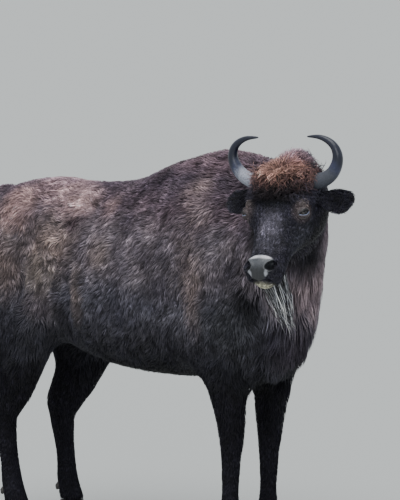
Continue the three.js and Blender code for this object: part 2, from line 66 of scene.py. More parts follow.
LEGS = ("foreleg_left", "foreleg_right", "hindleg_left", "hindleg_right")
SIDES = ("left", "right")
TRUNK_NODES = ("trunk_forequarters", "trunk_barrel", "trunk_hindquarters", "neck", "head")
TAIL_NODES = ("tail_dock", "tail_switch")
EAR_NODES = ("ear_left", "ear_right")
LEG_NODES = tuple(f"{leg}_{part}" for leg in LEGS for part in ("upper", "shank"))


# ---------------------------------------------------------------- small tools


def linear(code: str) -> Triple:
    """Turns an sRGB hex colour into linear light.

    Args:
        code: Six hex digits, such as "5c4545".

    Returns:
        Red, green and blue in linear light.
    """
    parts = [int(code[i : i + 2], 16) / 255.0 for i in (0, 2, 4)]
    return tuple(p / 12.92 if p <= 0.04045 else ((p + 0.055) / 1.055) ** 2.4 for p in parts)


def smoothstep(low: float, high: float, value: np.ndarray) -> np.ndarray:
    """Rises smoothly from 0 at low to 1 at high, also where high is the smaller.

    Args:
        low: Where the rise starts.
        high: Where the rise ends.
        value: The numbers to weigh.

    Returns:
        Weights from 0 to 1.
    """
    t = np.clip((value - low) / (high - low), 0.0, 1.0)
    return t * t * (3.0 - 2.0 * t)


def unit(vectors: np.ndarray) -> np.ndarray:
    """Scales each row to length 1.

    Args:
        vectors: Rows of three numbers.

    Returns:
        The rows at length 1.
    """
    return vectors / np.maximum(np.linalg.norm(vectors, axis=-1, keepdims=True), 1e-9)


def mix(a: np.ndarray, b: Any, weight: np.ndarray) -> np.ndarray:
    """Mixes two sets of values row by row.

    Args:
        a: The values at weight 0.
        b: The values at weight 1.
        weight: One weight for each row.

    Returns:
        The mixed values.
    """
    w = weight if np.ndim(a) == 1 else weight[:, None]
    return a * (1.0 - w) + np.asarray(b) * w


def along_surface(ways: np.ndarray, normals: np.ndarray) -> np.ndarray:
    """Lays each way onto the surface.

    Args:
        ways: One direction for each row.
        normals: The surface's normals there.

    Returns:
        The nearest directions that run along the surface.
    """
    return unit(ways - normals * (ways * normals).sum(1, keepdims=True))


def one_side(here: np.ndarray) -> np.ndarray:
    """Folds the head's right half onto its left.

    Args:
        here: Rows of f, s and u.

    Returns:
        The rows with s never negative.
    """
    return np.stack([here[:, 0], np.abs(here[:, 1]), here[:, 2]], axis=1)


def deselect() -> None:
    """Leaves nothing selected."""
    bpy.ops.object.select_all(action="DESELECT")


def activate(piece: bpy.types.Object) -> None:
    """Selects one object alone and makes it the active one.

    Args:
        piece: The object to work on.
    """
    deselect()
    piece.select_set(True)
    bpy.context.view_layer.objects.active = piece


def apply_modifier(piece: bpy.types.Object, kind: str, **settings: Any) -> None:
    """Adds one modifier and applies it.

    Args:
        piece: The object that is shaped.
        kind: The modifier's type.
        **settings: The modifier's own settings.
    """
    activate(piece)
    modifier = piece.modifiers.new(kind.lower(), kind)
    for name, value in settings.items():
        setattr(modifier, name, value)
    bpy.ops.object.modifier_apply(modifier=modifier.name)


def in_edit_mode(piece: bpy.types.Object, work: Callable[[], Any], select_all: bool = True) -> None:
    """Runs operators on a mesh in edit mode.

    Args:
        piece: The object that is edited.
        work: What to run there.
        select_all: Whether all of the mesh is selected first.
    """
    activate(piece)
    bpy.ops.object.mode_set(mode="EDIT")
    if select_all:
        bpy.ops.mesh.select_all(action="SELECT")
    work()
    bpy.ops.object.mode_set(mode="OBJECT")


def select_faces(piece: bpy.types.Object, chosen: np.ndarray) -> None:
    """Selects the given faces of a mesh, and nothing else of it.

    Args:
        piece: The object whose faces are chosen.
        chosen: One truth value for each face.
    """
    activate(piece)
    bpy.ops.object.mode_set(mode="EDIT")
    bpy.ops.mesh.select_mode(type="FACE")
    bpy.ops.mesh.select_all(action="DESELECT")
    bpy.ops.object.mode_set(mode="OBJECT")
    piece.data.polygons.foreach_set("select", chosen.astype(bool))


def rows_of(items: Any, key: str) -> np.ndarray:
    """Reads three numbers from each item of a mesh.

    Args:
        items: The mesh's points, normals or faces.
        key: What is read.

    Returns:
        One row for each item.
    """
    flat = np.empty(len(items) * 3, np.float32)
    items.foreach_get(key, flat)
    return flat.reshape(-1, 3).astype(float)


def points_of(piece: bpy.types.Object) -> np.ndarray:
    """Reads a mesh's points."""
    return rows_of(piece.data.vertices, "co")


def normals_of(piece: bpy.types.Object) -> np.ndarray:
    """Reads the normals at a mesh's points."""
    return rows_of(piece.data.vertex_normals, "vector")


def face_centres(piece: bpy.types.Object) -> np.ndarray:
    """Reads the middles of a mesh's faces."""
    return rows_of(piece.data.polygons, "center")


def move_points(piece: bpy.types.Object, points: np.ndarray) -> None:
    """Writes a mesh's points back.

    Args:
        piece: The object to change.
        points: One row for each point.
    """
    piece.data.vertices.foreach_set("co", points.astype(np.float32).ravel())
    piece.data.update()


def copy_node(node: str, name: str, swell: float = 0.0) -> bpy.types.Object:
    """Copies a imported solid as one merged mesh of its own.

    Args:
        node: The solid's name.
        name: The copy's name.
        swell: How far the copy is pushed out, in metres.

    Returns:
        The copy.
    """
    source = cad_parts[node]
    piece = bpy.data.objects.new(name, source.data.copy())
    piece.data.materials.clear()
    bpy.context.scene.collection.objects.link(piece)
    in_edit_mode(piece, lambda: bpy.ops.mesh.remove_doubles(threshold=0.00005))
    if piece.data.has_custom_normals:
        bpy.ops.mesh.customdata_custom_splitnormals_clear()
    if swell:
        in_edit_mode(piece, lambda: bpy.ops.transform.shrink_fatten(value=swell))
    return piece


def join(pieces: Sequence[bpy.types.Object], name: str) -> bpy.types.Object:
    """Joins several meshes into one object.

    Args:
        pieces: The objects to join.
        name: The joined object's name.

    Returns:
        The joined object.
    """
    deselect()
    for piece in pieces:
        piece.select_set(True)
    bpy.context.view_layer.objects.active = pieces[0]
    bpy.ops.object.join()
    pieces[0].name = name
    pieces[0].data.name = name
    return pieces[0]


def paint(piece: bpy.types.Object, name: str, colours: np.ndarray) -> None:
    """Stores a colour at each point of a mesh.

    Args:
        piece: The object to paint.
        name: The attribute's name.
        colours: One row of red, green and blue for each point.
    """
    layer = piece.data.color_attributes.new(name, "FLOAT_COLOR", "POINT")
    full = np.ones((len(colours), 4), np.float32)
    full[:, :3] = colours
    layer.data.foreach_set("color", full.ravel())


# ---------------------------------------------------------------- the head's own axes


@dataclass(frozen=True)
class HeadFrame:
    """The head's axes: f from the poll to the nose, s to its left side, u out of the brow."""

    poll: Triple = (0.8788, -0.1299, 1.588)
    turn: float = -73.0
    drop: float = 53.0
    tilt: float = 6.0

    def axes(self) -> np.ndarray:
        """Gives the directions f, s and u as rows."""
        turn, drop, tilt = (math.radians(a) for a in (self.turn, self.drop, self.tilt))
        ahead = np.array([math.cos(turn), math.sin(turn), 0.0])
        up = np.array([0.0, 0.0, 1.0])
        f = ahead * math.cos(drop) - up * math.sin(drop)
        u = ahead * math.sin(drop) + up * math.cos(drop)
        u = u * math.cos(tilt) + np.cross(f, u) * math.sin(tilt)
        return np.array([f, np.cross(u, f), u])

    def local(self, points: np.ndarray) -> np.ndarray:
        """Gives points in f, s and u.

        Args:
            points: Rows in the part's frame.

        Returns:
            The same rows along the head's axes.
        """
        return (points - np.array(self.poll)) @ self.axes().T

    def world(self, points: Any) -> np.ndarray:
        """Gives points in the part's frame.

        Args:
            points: Rows, or one row, of f, s and u.

        Returns:
            The same rows in the part's frame.
        """
        return np.asarray(points, float) @ self.axes() + np.array(self.poll)

    def towards(self, f: float, s: float, u: float) -> np.ndarray:
        """Gives a direction stated along the head's axes, at length 1.

        Args:
            f: Its share towards the nose.
            s: Its share to the left.
            u: Its share out of the brow.

        Returns:
            The direction in the part's frame.
        """
        return unit(np.array([f, s, u]) @ self.axes())

    def share(self, points: np.ndarray) -> np.ndarray:
        """Tells how far each point belongs to the head, behind which the neck starts.

        Args:
            points: Rows in the part's frame.

        Returns:
            1 on the head, 0 on the rest, smooth between them.
        """
        here = self.local(points)
        across = (here - np.array([-0.09, 0.0, -0.14])) @ unit(np.array([0.42, 0.3, 0.86]))
        near = np.linalg.norm(here - np.array([0.2, 0.0, -0.06]), axis=1)
        return smoothstep(-0.070, 0.035, across) * smoothstep(0.56, 0.44, near)


HEAD = HeadFrame()


@dataclass(frozen=True)
class Spot:
    """A soft-edged ball of influence, such as a marking or a bulge.

    The centre is in the part's frame, with y counted from the midline for both flanks where mirrored
    is true, or in the head's axes where on_head is true.
    """

    centre: Triple
    radii: Triple
    value: Any = 1.0
    on_head: bool = False
    mirrored: bool = True
    strength: float = 1.0

    def weigh(self, points: np.ndarray) -> np.ndarray:
        """Gives the spot's weight at each point, from 0 to its strength.

        Args:
            points: Rows in the part's frame.

        Returns:
            One weight for each row.
        """
        here = HEAD.local(points) if self.on_head else points.copy()
        if self.mirrored:
            here[:, 1] = np.abs(here[:, 1] - (0.0 if self.on_head else MIDLINE))
        gap = (here - np.array(self.centre)) / np.array(self.radii)
        return self.strength * np.clip(1.0 - (gap**2).sum(1), 0.0, 1.0) ** 1.5


def head_spot(f: float, s: float, u: float, radii: Triple, value: Any, strength: float = 1.0) -> Spot:
    """Makes a spot on both sides of the head.

    Args:
        f: Its middle, from the poll to the nose.
        s: Its middle, to the side.
        u: Its middle, out of the brow.
        radii: Its reach along the head's axes.
        value: What it stands for.
        strength: Its weight in the middle.

    Returns:
        The spot.
    """
    return Spot((f, s, u), radii, value, True, True, strength)


# ---------------------------------------------------------------- what the coat is like, place by place


@dataclass(frozen=True)
class Markings:
    """The coat's colours, the same for the skin and for the tufts that grow on it, with painted shadow
    under the head and jaw, partly painted shade on the belly and a painted sheen on the bridge.
    """

    heights: tuple[tuple[float, str], ...] = (
        (0.00, "14131b"),
        (0.66, "131219"),
        (0.76, "202027"),
        (0.86, "333239"),
        (1.00, "52515b"),
        (1.12, "5f5960"),
        (1.26, "6b636a"),
        (1.38, "5b4e57"),
        (1.50, "483f49"),
        (1.70, "4c4149"),
    )
    trunk: tuple[Spot, ...] = (
        Spot((-0.60, 0.05, 1.41), (0.24, 0.22, 0.12), "8d777e"),
        Spot((-0.67, 0.18, 1.30), (0.13, 0.16, 0.12), "a98c88"),
        Spot((-0.71, 0.20, 1.10), (0.12, 0.20, 0.20), "71635f"),
        Spot((-0.46, 0.24, 1.20), (0.20, 0.16, 0.16), "766968"),
        Spot((-0.41, 0.13, 1.36), (0.18, 0.14, 0.11), "a38b8e"),
        Spot((-0.37, 0.22, 1.285), (0.055, 0.10, 0.05), "40373d", strength=1.1),
        Spot((-0.18, 0.17, 1.37), (0.07, 0.12, 0.06), "8b7679"),
        Spot((-0.17, 0.29, 1.19), (0.11, 0.16, 0.09), "756a6a"),
        Spot((-0.275, 0.28, 1.02), (0.055, 0.18, 0.17), "655c5b"),
        Spot((-0.50, 0.27, 1.07), (0.15, 0.16, 0.13), "7c7371"),
        Spot((-0.52, 0.27, 0.95), (0.15, 0.16, 0.09), "665e63", strength=0.8),
        Spot((-0.60, 0.22, 0.80), (0.30, 0.30, 0.15), "323239", strength=0.8),
        Spot((-0.30, 0.09, 1.46), (0.16, 0.09, 0.06), "463d49", strength=0.8),
        Spot((-0.30, -0.056, 1.38), (0.055, 0.042, 0.050), "0c080c", mirrored=False, strength=1.4),
        Spot((0.08, 0.10, 1.50), (0.10, 0.14, 0.07), "3b3138", strength=0.8),
        Spot((-0.39, 0.27, 0.92), (0.07, 0.18, 0.07), "1c1a20", strength=0.8),
        Spot((-0.405, 0.28, 1.00), (0.035, 0.18, 0.16), "2c2930", strength=0.8),
        Spot((-0.08, 0.30, 0.97), (0.16, 0.20, 0.13), "42414a"),
        Spot((0.34, 0.28, 1.20), (0.055, 0.20, 0.16), "3c363b", strength=0.7),
        Spot((0.34, 0.20, 1.46), (0.09, 0.14, 0.10), "7c6d70", strength=0.8),
        Spot((0.39, 0.24, 1.37), (0.08, 0.16, 0.07), "71666a", strength=0.8),
        Spot((0.30, 0.26, 1.33), (0.06, 0.16, 0.06), "39343a", strength=0.7),
        Spot((0.484, 0.26, 1.24), (0.09, 0.18, 0.11), "726b71"),
        Spot((0.387, 0.28, 1.06), (0.065, 0.20, 0.20), "6d6264", strength=0.8),
        Spot((0.24, 0.29, 1.12), (0.10, 0.20, 0.20), "4c4850", strength=0.6),
        Spot((0.30, 0.05, 1.58), (0.36, 0.16, 0.12), "6c5a62"),
        Spot((0.55, 0.25, 0.94), (0.20, 0.25, 0.20), "333439"),
        # painted shadow below the head, on the throat behind the beard (this spot and the next)
        Spot((0.62, 0.22, 1.04), (0.09, 0.16, 0.09), "141419"),
        Spot((0.56, 0.25, 1.18), (0.06, 0.16, 0.10), "37343b", strength=0.8),
        Spot((0.80, 0.02, 1.10), (0.20, 0.22, 0.16), "87797f"),
        # painted shadow on the neck just behind the jaw
        Spot((0.86, 0.10, 1.24), (0.16, 0.12, 0.11), "17171c"),
        Spot((0.80, 0.14, 1.05), (0.10, 0.10, 0.10), "1f2029"),
        Spot((0.76, 0.03, 0.90), (0.22, 0.30, 0.16), "2d2730", strength=0.8),
        # the belly's near-black: partly its own dark hair, partly painted shade under the body
        Spot((0.05, 0.00, 0.69), (0.75, 0.26, 0.13), "020204", strength=1.1),
    )
    head: tuple[Spot, ...] = (
        # the bridge's lighter band: partly its own greyer hair, partly a painted sheen
        head_spot(0.29, 0.00, 0.02, (0.11, 0.070, 0.07), "6c6976", 0.9),
        head_spot(0.36, 0.03, 0.01, (0.07, 0.08, 0.05), "3c3b44", 0.8),
        head_spot(0.17, 0.00, 0.06, (0.06, 0.14, 0.06), "0b0d12", 1.1),
        head_spot(0.28, 0.10, -0.07, (0.12, 0.06, 0.07), "383941", 0.8),
        # painted shadow under the jaw
        head_spot(0.18, 0.10, -0.17, (0.20, 0.13, 0.11), "0c0c11", 1.1),
        head_spot(0.202, 0.128, 0.014, (0.064, 0.056, 0.052), "564c4c", 1.1),
        head_spot(0.174, 0.128, 0.032, (0.028, 0.040, 0.030), "675f5d", 0.8),
        head_spot(0.240, 0.126, 0.032, (0.020, 0.016, 0.010), "6d7488", 0.9),
        head_spot(0.040, 0.00, 0.080, (0.120, 0.190, 0.10), "6c4e47", 1.2),
        head_spot(0.052, 0.050, 0.085, (0.042, 0.125, 0.06), "9d7b70", 1.0),
        head_spot(0.122, 0.00, 0.060, (0.070, 0.17, 0.07), "130f12", 1.2),
        head_spot(-0.05, 0.00, 0.05, (0.09, 0.12, 0.09), "84707a", 1.1),
        head_spot(0.490, 0.00, -0.068, (0.060, 0.050, 0.042), "bcbaa6", 1.2),
        head_spot(0.098, 0.22, -0.075, (0.075, 0.105, 0.075), "0b0a15", 1.2),
    )
    face: str = "26252f"
    pad: str = "34363a"
    gain: float = 1.5  # lifts the whole coat, whose tufts shade each other

    def colour(self, points: np.ndarray) -> np.ndarray:
        """Gives the coat's colour at each point.

        Args:
            points: Rows in the part's frame.

        Returns:
            Rows of linear red, green and blue.
        """
        levels = np.array([z for z, _ in self.heights])
        shades = np.array([linear(code) for _, code in self.heights])
        tone = np.stack([np.interp(points[:, 2], levels, shades[:, i]) for i in range(3)], axis=1)
        x, y, z = points.T
        broad = np.sin(x * 26.0 + 3.0 * np.sin(z * 7.0) + y * 9.0)
        fine = np.sin(x * 84.0 + 2.5 * np.sin(z * 9.0 + x * 6.0) + y * 12.0)
        tone = tone * (1.0 + 0.10 * broad + 0.11 * fine)[:, None]
        for spot in self.trunk:
            tone = mix(tone, linear(spot.value), np.clip(spot.weigh(points), 0.0, 1.0))
        on_head = HEAD.share(points)
        face = np.tile(linear(self.face), (len(points), 1))
        for spot in self.head:
            face = mix(face, linear(spot.value), np.clip(spot.weigh(points), 0.0, 1.0))
        face = mix(face, linear(self.pad), Muzzle().bare(points))
        return mix(tone, face, on_head) * self.gain


@dataclass(frozen=True)
class Growth:
    """How deep, long, thick and lifted the coat is at a place, and which way it lies."""

    depth_heights: Pairs = (
        (0.0, 0.001), (0.10, 0.002), (0.20, 0.003), (0.42, 0.005), (0.62, 0.010), (0.80, 0.018),
    )
    length_heights: Pairs = (
        (0.0, 0.028), (0.12, 0.024), (0.20, 0.015), (0.50, 0.022), (0.66, 0.032), (0.80, 0.034),
    )
    width_heights: Pairs = ((0.0, 0.0024), (0.30, 0.0028), (0.60, 0.0036), (0.80, 0.0039), (1.8, 0.0041))
    deep: tuple[Spot, ...] = (
        Spot((0.38, 0.0, 1.52), (0.46, 0.30, 0.26), 0.030),
        Spot((0.74, 0.0, 1.02), (0.26, 0.34, 0.40), 0.036),
        Spot((-0.50, 0.15, 1.25), (0.36, 0.30, 0.30), 0.015),
    )
    longer: tuple[Spot, ...] = (
        Spot((0.40, 0.0, 1.54), (0.42, 0.24, 0.20), 0.052),
        Spot((0.74, 0.0, 0.98), (0.24, 0.36, 0.36), 0.088),
        Spot((0.62, 0.10, 0.72), (0.18, 0.20, 0.16), 0.080),
        Spot((0.10, 0.0, 0.72), (0.60, 0.16, 0.10), 0.052),
        Spot((-0.62, 0.20, 0.72), (0.22, 0.22, 0.22), 0.050),
    )

    def by_height(self, points: np.ndarray, table: Pairs) -> np.ndarray:
        """Reads a table of heights at each point.

        Args:
            points: Rows in the part's frame.
            table: Pairs of height and value.

        Returns:
            One value for each row.
        """
        levels, values = zip(*table)
        return np.interp(points[:, 2], levels, values)

    def wool(self, points: np.ndarray) -> np.ndarray:
        """Tells how far each point belongs to the woolly forelock and crown.

        Args:
            points: Rows in the part's frame.

        Returns:
            One weight for each row.
        """
        f, s, u = HEAD.local(points).T
        front = smoothstep(0.180, 0.130, f) * smoothstep(-0.040, 0.005, u)
        front = front * smoothstep(0.19, 0.15, np.abs(s))
        crown = smoothstep(0.02, -0.04, f) * smoothstep(-0.17, -0.10, u)
        return np.maximum(front, crown) * HEAD.share(points)

    def on_head(self, points: np.ndarray, face: float, cheek: float, brow: float) -> np.ndarray:
        """Mixes three values over the head: bare on the pad, then face, cheek and brow.

        Args:
            points: Rows in the part's frame.
            face: The value on the bridge, lips and round the eyes.
            cheek: The value at the back of the cheeks and jaw.
            brow: The value in the forelock and on the crown.

        Returns:
            One value for each row.
        """
        here = HEAD.local(points)
        value = np.full(len(points), face)
        back = smoothstep(-0.06, -0.19, here[:, 2]) * smoothstep(0.38, 0.18, here[:, 0])
        value = mix(value, cheek, back)
        return mix(value, brow, self.wool(points)) * (1.0 - Muzzle().bare(points))

    def depth(self, points: np.ndarray) -> np.ndarray:
        """Gives how far the skin lies inside the outline, in metres.

        Args:
            points: Rows in the part's frame.

        Returns:
            One depth for each row.
        """
        value = self.by_height(points, self.depth_heights)
        for spot in self.deep:
            value = mix(value, spot.value, spot.weigh(points))
        value = np.where(points[:, 0] < -0.98, np.minimum(value, 0.010), value)
        return mix(value, self.on_head(points, 0.004, 0.014, 0.034), HEAD.share(points))

    def length(self, points: np.ndarray) -> np.ndarray:
        """Gives how long a tuft is, in metres.

        Args:
            points: Rows in the part's frame.

        Returns:
            One length for each row.
        """
        value = self.by_height(points, self.length_heights)
        for spot in self.longer:
            value = mix(value, spot.value, np.clip(spot.weigh(points), 0.0, 1.0))
        return mix(value, self.on_head(points, 0.0120, 0.032, 0.070), HEAD.share(points))

    def width(self, points: np.ndarray) -> np.ndarray:
        """Gives how wide a tuft is at its root, in metres.

        Args:
            points: Rows in the part's frame.

        Returns:
            One width for each row.
        """
        value = self.by_height(points, self.width_heights)
        return mix(value, self.on_head(points, 0.0021, 0.0034, 0.0030), HEAD.share(points))

    def lie(self, points: np.ndarray) -> np.ndarray:
        """Gives the way the coat lies, before it is laid onto the surface.

        Args:
            points: Rows in the part's frame.

        Returns:
            One direction for each row.
        """
        low = smoothstep(0.80, 0.60, points[:, 2])[:, None]
        high = smoothstep(1.15, 1.45, points[:, 2])[:, None]
        way = np.array([-0.48, 0.0, -0.88]) * (1.0 - high) + np.array([-0.90, 0.0, -0.45]) * high
        way = way * (1.0 - low) + np.array([-0.12, 0.0, -1.0]) * low
        front = smoothstep(0.50, 0.72, points[:, 0])[:, None]
        way = way * (1.0 - front) + np.array([-0.25, 0.10, -1.0]) * front
        behind = smoothstep(-0.92, -1.02, points[:, 0])[:, None]
        way = way * (1.0 - behind) + np.array([0.0, 0.0, -1.0]) * behind
        here = HEAD.local(points)
        f_axis, s_axis, u_axis = HEAD.axes()
        down_face = smoothstep(-0.02, 0.10, here[:, 0])[:, None]
        apart = s_axis * here[:, 1:2] * (6.0 + 5.0 * self.wool(points)[:, None])
        face = f_axis * down_face - f_axis * (1.0 - down_face) + apart
        jaw = smoothstep(-0.02, -0.14, here[:, 2])[:, None]
        face = face * (1.0 - jaw) + (0.15 * f_axis - 0.9 * u_axis) * jaw
        share = HEAD.share(points)[:, None]
        return unit(way * (1.0 - share) + face * share)


@dataclass(frozen=True)
class Muzzle:
    """The bare, wet pad round the nostrils."""

    centre: Triple = (0.464, 0.0, 0.006)
    radii: Triple = (0.060, 0.076, 0.042)

    def bare(self, points: np.ndarray) -> np.ndarray:
        """Tells how bare the nose is at each point.

        Args:
            points: Rows in the part's frame.

        Returns:
            1 on the pad and 0 on the haired skin.
        """
        here = HEAD.local(points)
        gap = (here - np.array(self.centre)) / np.array(self.radii)
        gap[:, 1] *= 1.0 + 0.75 * smoothstep(0.448, 0.492, here[:, 0])
        return smoothstep(1.10, 0.94, np.sqrt((gap**2).sum(1)))


# ---------------------------------------------------------------- finishes


MULTIPLY = {"data_type": "RGBA", "blend_type": "MULTIPLY"}  # inputs 0, 6 and 7: factor and two colours


def feed(tree: bpy.types.NodeTree, node: Any, links: dict[Any, Any]) -> None:
    """Sets a node's inputs.

    Args:
        tree: The material's node tree.
        node: The node that is fed.
        links: For each input, a socket that feeds it or a plain value.
    """
    for key, value in links.items():
        if isinstance(value, bpy.types.NodeSocket):
            tree.links.new(value, node.inputs[key])
        else:
            node.inputs[key].default_value = value


def add(
    tree: bpy.types.NodeTree,
    kind: str,
    links: dict[Any, Any] | None = None,
    stops: Sequence[tuple[float, Triple]] = (),
    **settings: Any,
) -> Any:
    """Adds one node to a material, with its settings, its values and what feeds it.

    Args:
        tree: The material's node tree.
        kind: The node's type, less the "ShaderNode" that every type starts with.
        links: For each input, a socket that feeds it or a plain value.
        stops: A colour ramp's pairs of place and linear colour.
        **settings: The node's own settings.

    Returns:
        The node.
    """
    node = tree.nodes.new(f"ShaderNode{kind}")
    for name, value in settings.items():
        setattr(node, name, value)
    feed(tree, node, links or {})
    if stops:
        elements = node.color_ramp.elements
        while len(elements) < len(stops):
            elements.new(0.5)
        for element, (place, colour) in zip(elements, stops):
            element.position = place
            element.color = (*colour, 1.0)
    return node


def start_material(name: str) -> tuple[bpy.types.Material, bpy.types.NodeTree, Any]:
    """Makes an empty material with its shader and output.

    Args:
        name: The real material's name.

    Returns:
        The material, its node tree and its shader node.
    """
    material = bpy.data.materials.new(name)
    material.use_nodes = True
    tree = material.node_tree
    tree.nodes.clear()
    shader = add(tree, "BsdfPrincipled")
    add(tree, "OutputMaterial", {"Surface": shader.outputs["BSDF"]})
    return material, tree, shader


def greys(low: float, dark: float, high: float, light: float) -> tuple[tuple[float, Triple], ...]:
    """Gives a ramp's two stops in neutral tones.

    Args:
        low: The first stop's place.
        dark: Its tone.
        high: The second stop's place.
        light: Its tone.

    Returns:
        Pairs of place and linear colour.
    """
    return ((low, (dark,) * 3), (high, (light,) * 3))


@dataclass(frozen=True)
class HairFinish:
    """Hair of the coat. It gives the eye soft, broken tufts with roots painted darker as shade and a dull
    sheen.
    """

    name: str
    roughness: float
    sheen: float
    patch: float
    specular: float

    def make(self) -> bpy.types.Material:
        """Makes the material, which reads the painted coat colour."""
        material, tree, shader = start_material(self.name)
        place = add(tree, "TexCoord").outputs["Object"]
        coat = add(tree, "Attribute", attribute_name="coat").outputs["Color"]
        strand = add(tree, "UVMap", uv_map="Strand").outputs["UV"]
        lines = add(tree, "Mapping", {"Vector": strand, "Scale": (7.0, 0.8, 1.0)}).outputs["Vector"]
        hair = add(tree, "TexNoise", {"Vector": lines, "Scale": 3.0, "Detail": 2.0}).outputs["Fac"]
        weather = {"Vector": place, "Scale": self.patch, "Detail": 6.0, "Roughness": 0.62}
        patchy = add(tree, "TexNoise", weather).outputs["Fac"]
        fibre = add(tree, "ValToRGB", {"Fac": hair}, greys(0.3, 0.66, 0.7, 1.25)).outputs["Color"]
        tone = add(tree, "Mix", {0: 1.0, 6: coat, 7: fibre}, **MULTIPLY).outputs[2]
        stops = ((0.3, (0.62, 0.62, 0.68)), (0.7, (1.38, 1.34, 1.26)))
        mottle = add(tree, "ValToRGB", {"Fac": patchy}, stops).outputs["Color"]
        tone = add(tree, "Mix", {0: 1.0, 6: tone, 7: mottle}, **MULTIPLY).outputs[2]
        bump = add(tree, "Bump", {"Height": hair, "Strength": 0.25, "Distance": 0.001}).outputs["Normal"]
        sockets = {
            "Base Color": tone,
            "Normal": bump,
            "Roughness": self.roughness,
            "Specular IOR Level": self.specular,
            "Sheen Weight": self.sheen,
            "Sheen Roughness": 0.4,
        }
        feed(tree, shader, sockets)
        return material


@dataclass(frozen=True)
class SkinFinish:
    """Haired skin below the coat. It gives the eye the coat's markings where tufts part."""

    name: str = "short underfur on skin"

    def make(self) -> bpy.types.Material:
        """Makes the material, which reads the painted coat colour."""
        material, tree, shader = start_material(self.name)
        place = add(tree, "TexCoord").outputs["Object"]
        coat = add(tree, "Attribute", attribute_name="coat").outputs["Color"]
        grain = add(tree, "TexNoise", {"Vector": place, "Scale": 260.0, "Detail": 3.0}).outputs["Fac"]
        patchy = add(tree, "TexNoise", {"Vector": place, "Scale": 14.0, "Detail": 3.0}).outputs["Fac"]
        fine = add(tree, "ValToRGB", {"Fac": grain}, greys(0.3, 0.62, 0.7, 1.2)).outputs["Color"]
        tone = add(tree, "Mix", {0: 1.0, 6: coat, 7: fine}, **MULTIPLY).outputs[2]
        broad = add(tree, "ValToRGB", {"Fac": patchy}, greys(0.3, 0.8, 0.7, 1.15)).outputs["Color"]
        tone = add(tree, "Mix", {0: 1.0, 6: tone, 7: broad}, **MULTIPLY).outputs[2]
        bump = add(tree, "Bump", {"Height": grain, "Strength": 0.5, "Distance": 0.0015}).outputs["Normal"]
        dull = {"Roughness": 0.7, "Specular IOR Level": 0.1}
        feed(tree, shader, {"Base Color": tone, "Normal": bump, **dull})
        return material


@dataclass(frozen=True)
class MuzzleFinish:
    """Wet bare nose skin. It gives the eye fine pebbles and a grey shine, broken where it is drier."""

    name: str = "wet bare nose skin"

    def make(self) -> bpy.types.Material:
        """Makes the material, with pebbles about 3 mm across."""
        material, tree, shader = start_material(self.name)
        place = add(tree, "TexCoord").outputs["Object"]
        coat = add(tree, "Attribute", attribute_name="coat").outputs["Color"]
        pebble = add(tree, "TexVoronoi", {"Vector": place, "Scale": 330.0}).outputs["Distance"]
        damp = add(tree, "TexNoise", {"Vector": place, "Scale": 40.0, "Detail": 2.0}).outputs["Fac"]
        pit = add(tree, "ValToRGB", {"Fac": pebble}, greys(0.1, 1.1, 0.8, 0.62)).outputs["Color"]
        tone = add(tree, "Mix", {0: 1.0, 6: coat, 7: pit}, **MULTIPLY).outputs[2]
        wet = add(tree, "ValToRGB", {"Fac": damp}, greys(0.35, 0.22, 0.7, 0.42)).outputs["Color"]
        relief = {"Height": pebble, "Strength": 0.35, "Distance": 0.0012}
        bump = add(tree, "Bump", relief, invert=True).outputs["Normal"]
        feed(tree, shader, {"Base Color": tone, "Roughness": wet, "Normal": bump})
        return material


@dataclass(frozen=True)
class HornFinish:
    """Horn sheath. It gives the eye a pale ringed root that turns smooth and near black at the tip."""

    name: str
    root: Triple
    pale: str
    middle: str = "2b3048"
    dark: str = "141828"
    reach: float = 0.23

    def make(self) -> bpy.types.Material:
        """Makes the material, shaded by the distance from the horn's root."""
        material, tree, shader = start_material(self.name)
        place = add(tree, "TexCoord").outputs["Object"]
        away = add(tree, "VectorMath", {0: place, 1: self.root}, operation="DISTANCE").outputs["Value"]
        far = add(tree, "Math", {0: away, 1: self.reach}, operation="DIVIDE").outputs[0]
        cloud = add(tree, "TexNoise", {"Vector": place, "Scale": 55.0, "Detail": 4.0}).outputs["Fac"]
        shift = add(tree, "Math", {0: cloud, 1: 0.22}, operation="MULTIPLY").outputs[0]
        along = add(tree, "Math", {0: far, 1: shift}, operation="ADD").outputs[0]
        places, codes = (0.16, 0.60, 0.74, 0.86), (self.pale, self.pale, self.middle, self.dark)
        stops = tuple(zip(places, map(linear, codes)))
        tone = add(tree, "ValToRGB", {"Fac": along}, stops).outputs["Color"]
        scratch = add(tree, "TexNoise", {"Vector": place, "Scale": 190.0, "Detail": 4.0}).outputs["Fac"]
        worn = add(tree, "ValToRGB", {"Fac": scratch}, greys(0.3, 0.6, 0.65, 1.15)).outputs["Color"]
        tone = add(tree, "Mix", {0: 1.0, 6: tone, 7: worn}, **MULTIPLY).outputs[2]
        turns = add(tree, "Math", {0: along, 1: 150.0}, operation="MULTIPLY").outputs[0]
        rings = add(tree, "Math", {0: turns}, operation="SINE").outputs[0]
        fade = add(tree, "ValToRGB", {"Fac": far}, greys(0.15, 1.0, 0.6, 0.05)).outputs["Color"]
        ridge = add(tree, "Math", {0: rings, 1: fade}, operation="MULTIPLY").outputs[0]
        rough = add(tree, "Math", {0: ridge, 1: scratch}, operation="ADD").outputs[0]
        bump = add(tree, "Bump", {"Height": rough, "Strength": 0.5, "Distance": 0.0012}).outputs["Normal"]
        shine = add(tree, "ValToRGB", {"Fac": far}, greys(0.3, 0.55, 0.8, 0.3)).outputs["Color"]
        feed(tree, shader, {"Base Color": tone, "Normal": bump, "Roughness": shine})
        return material


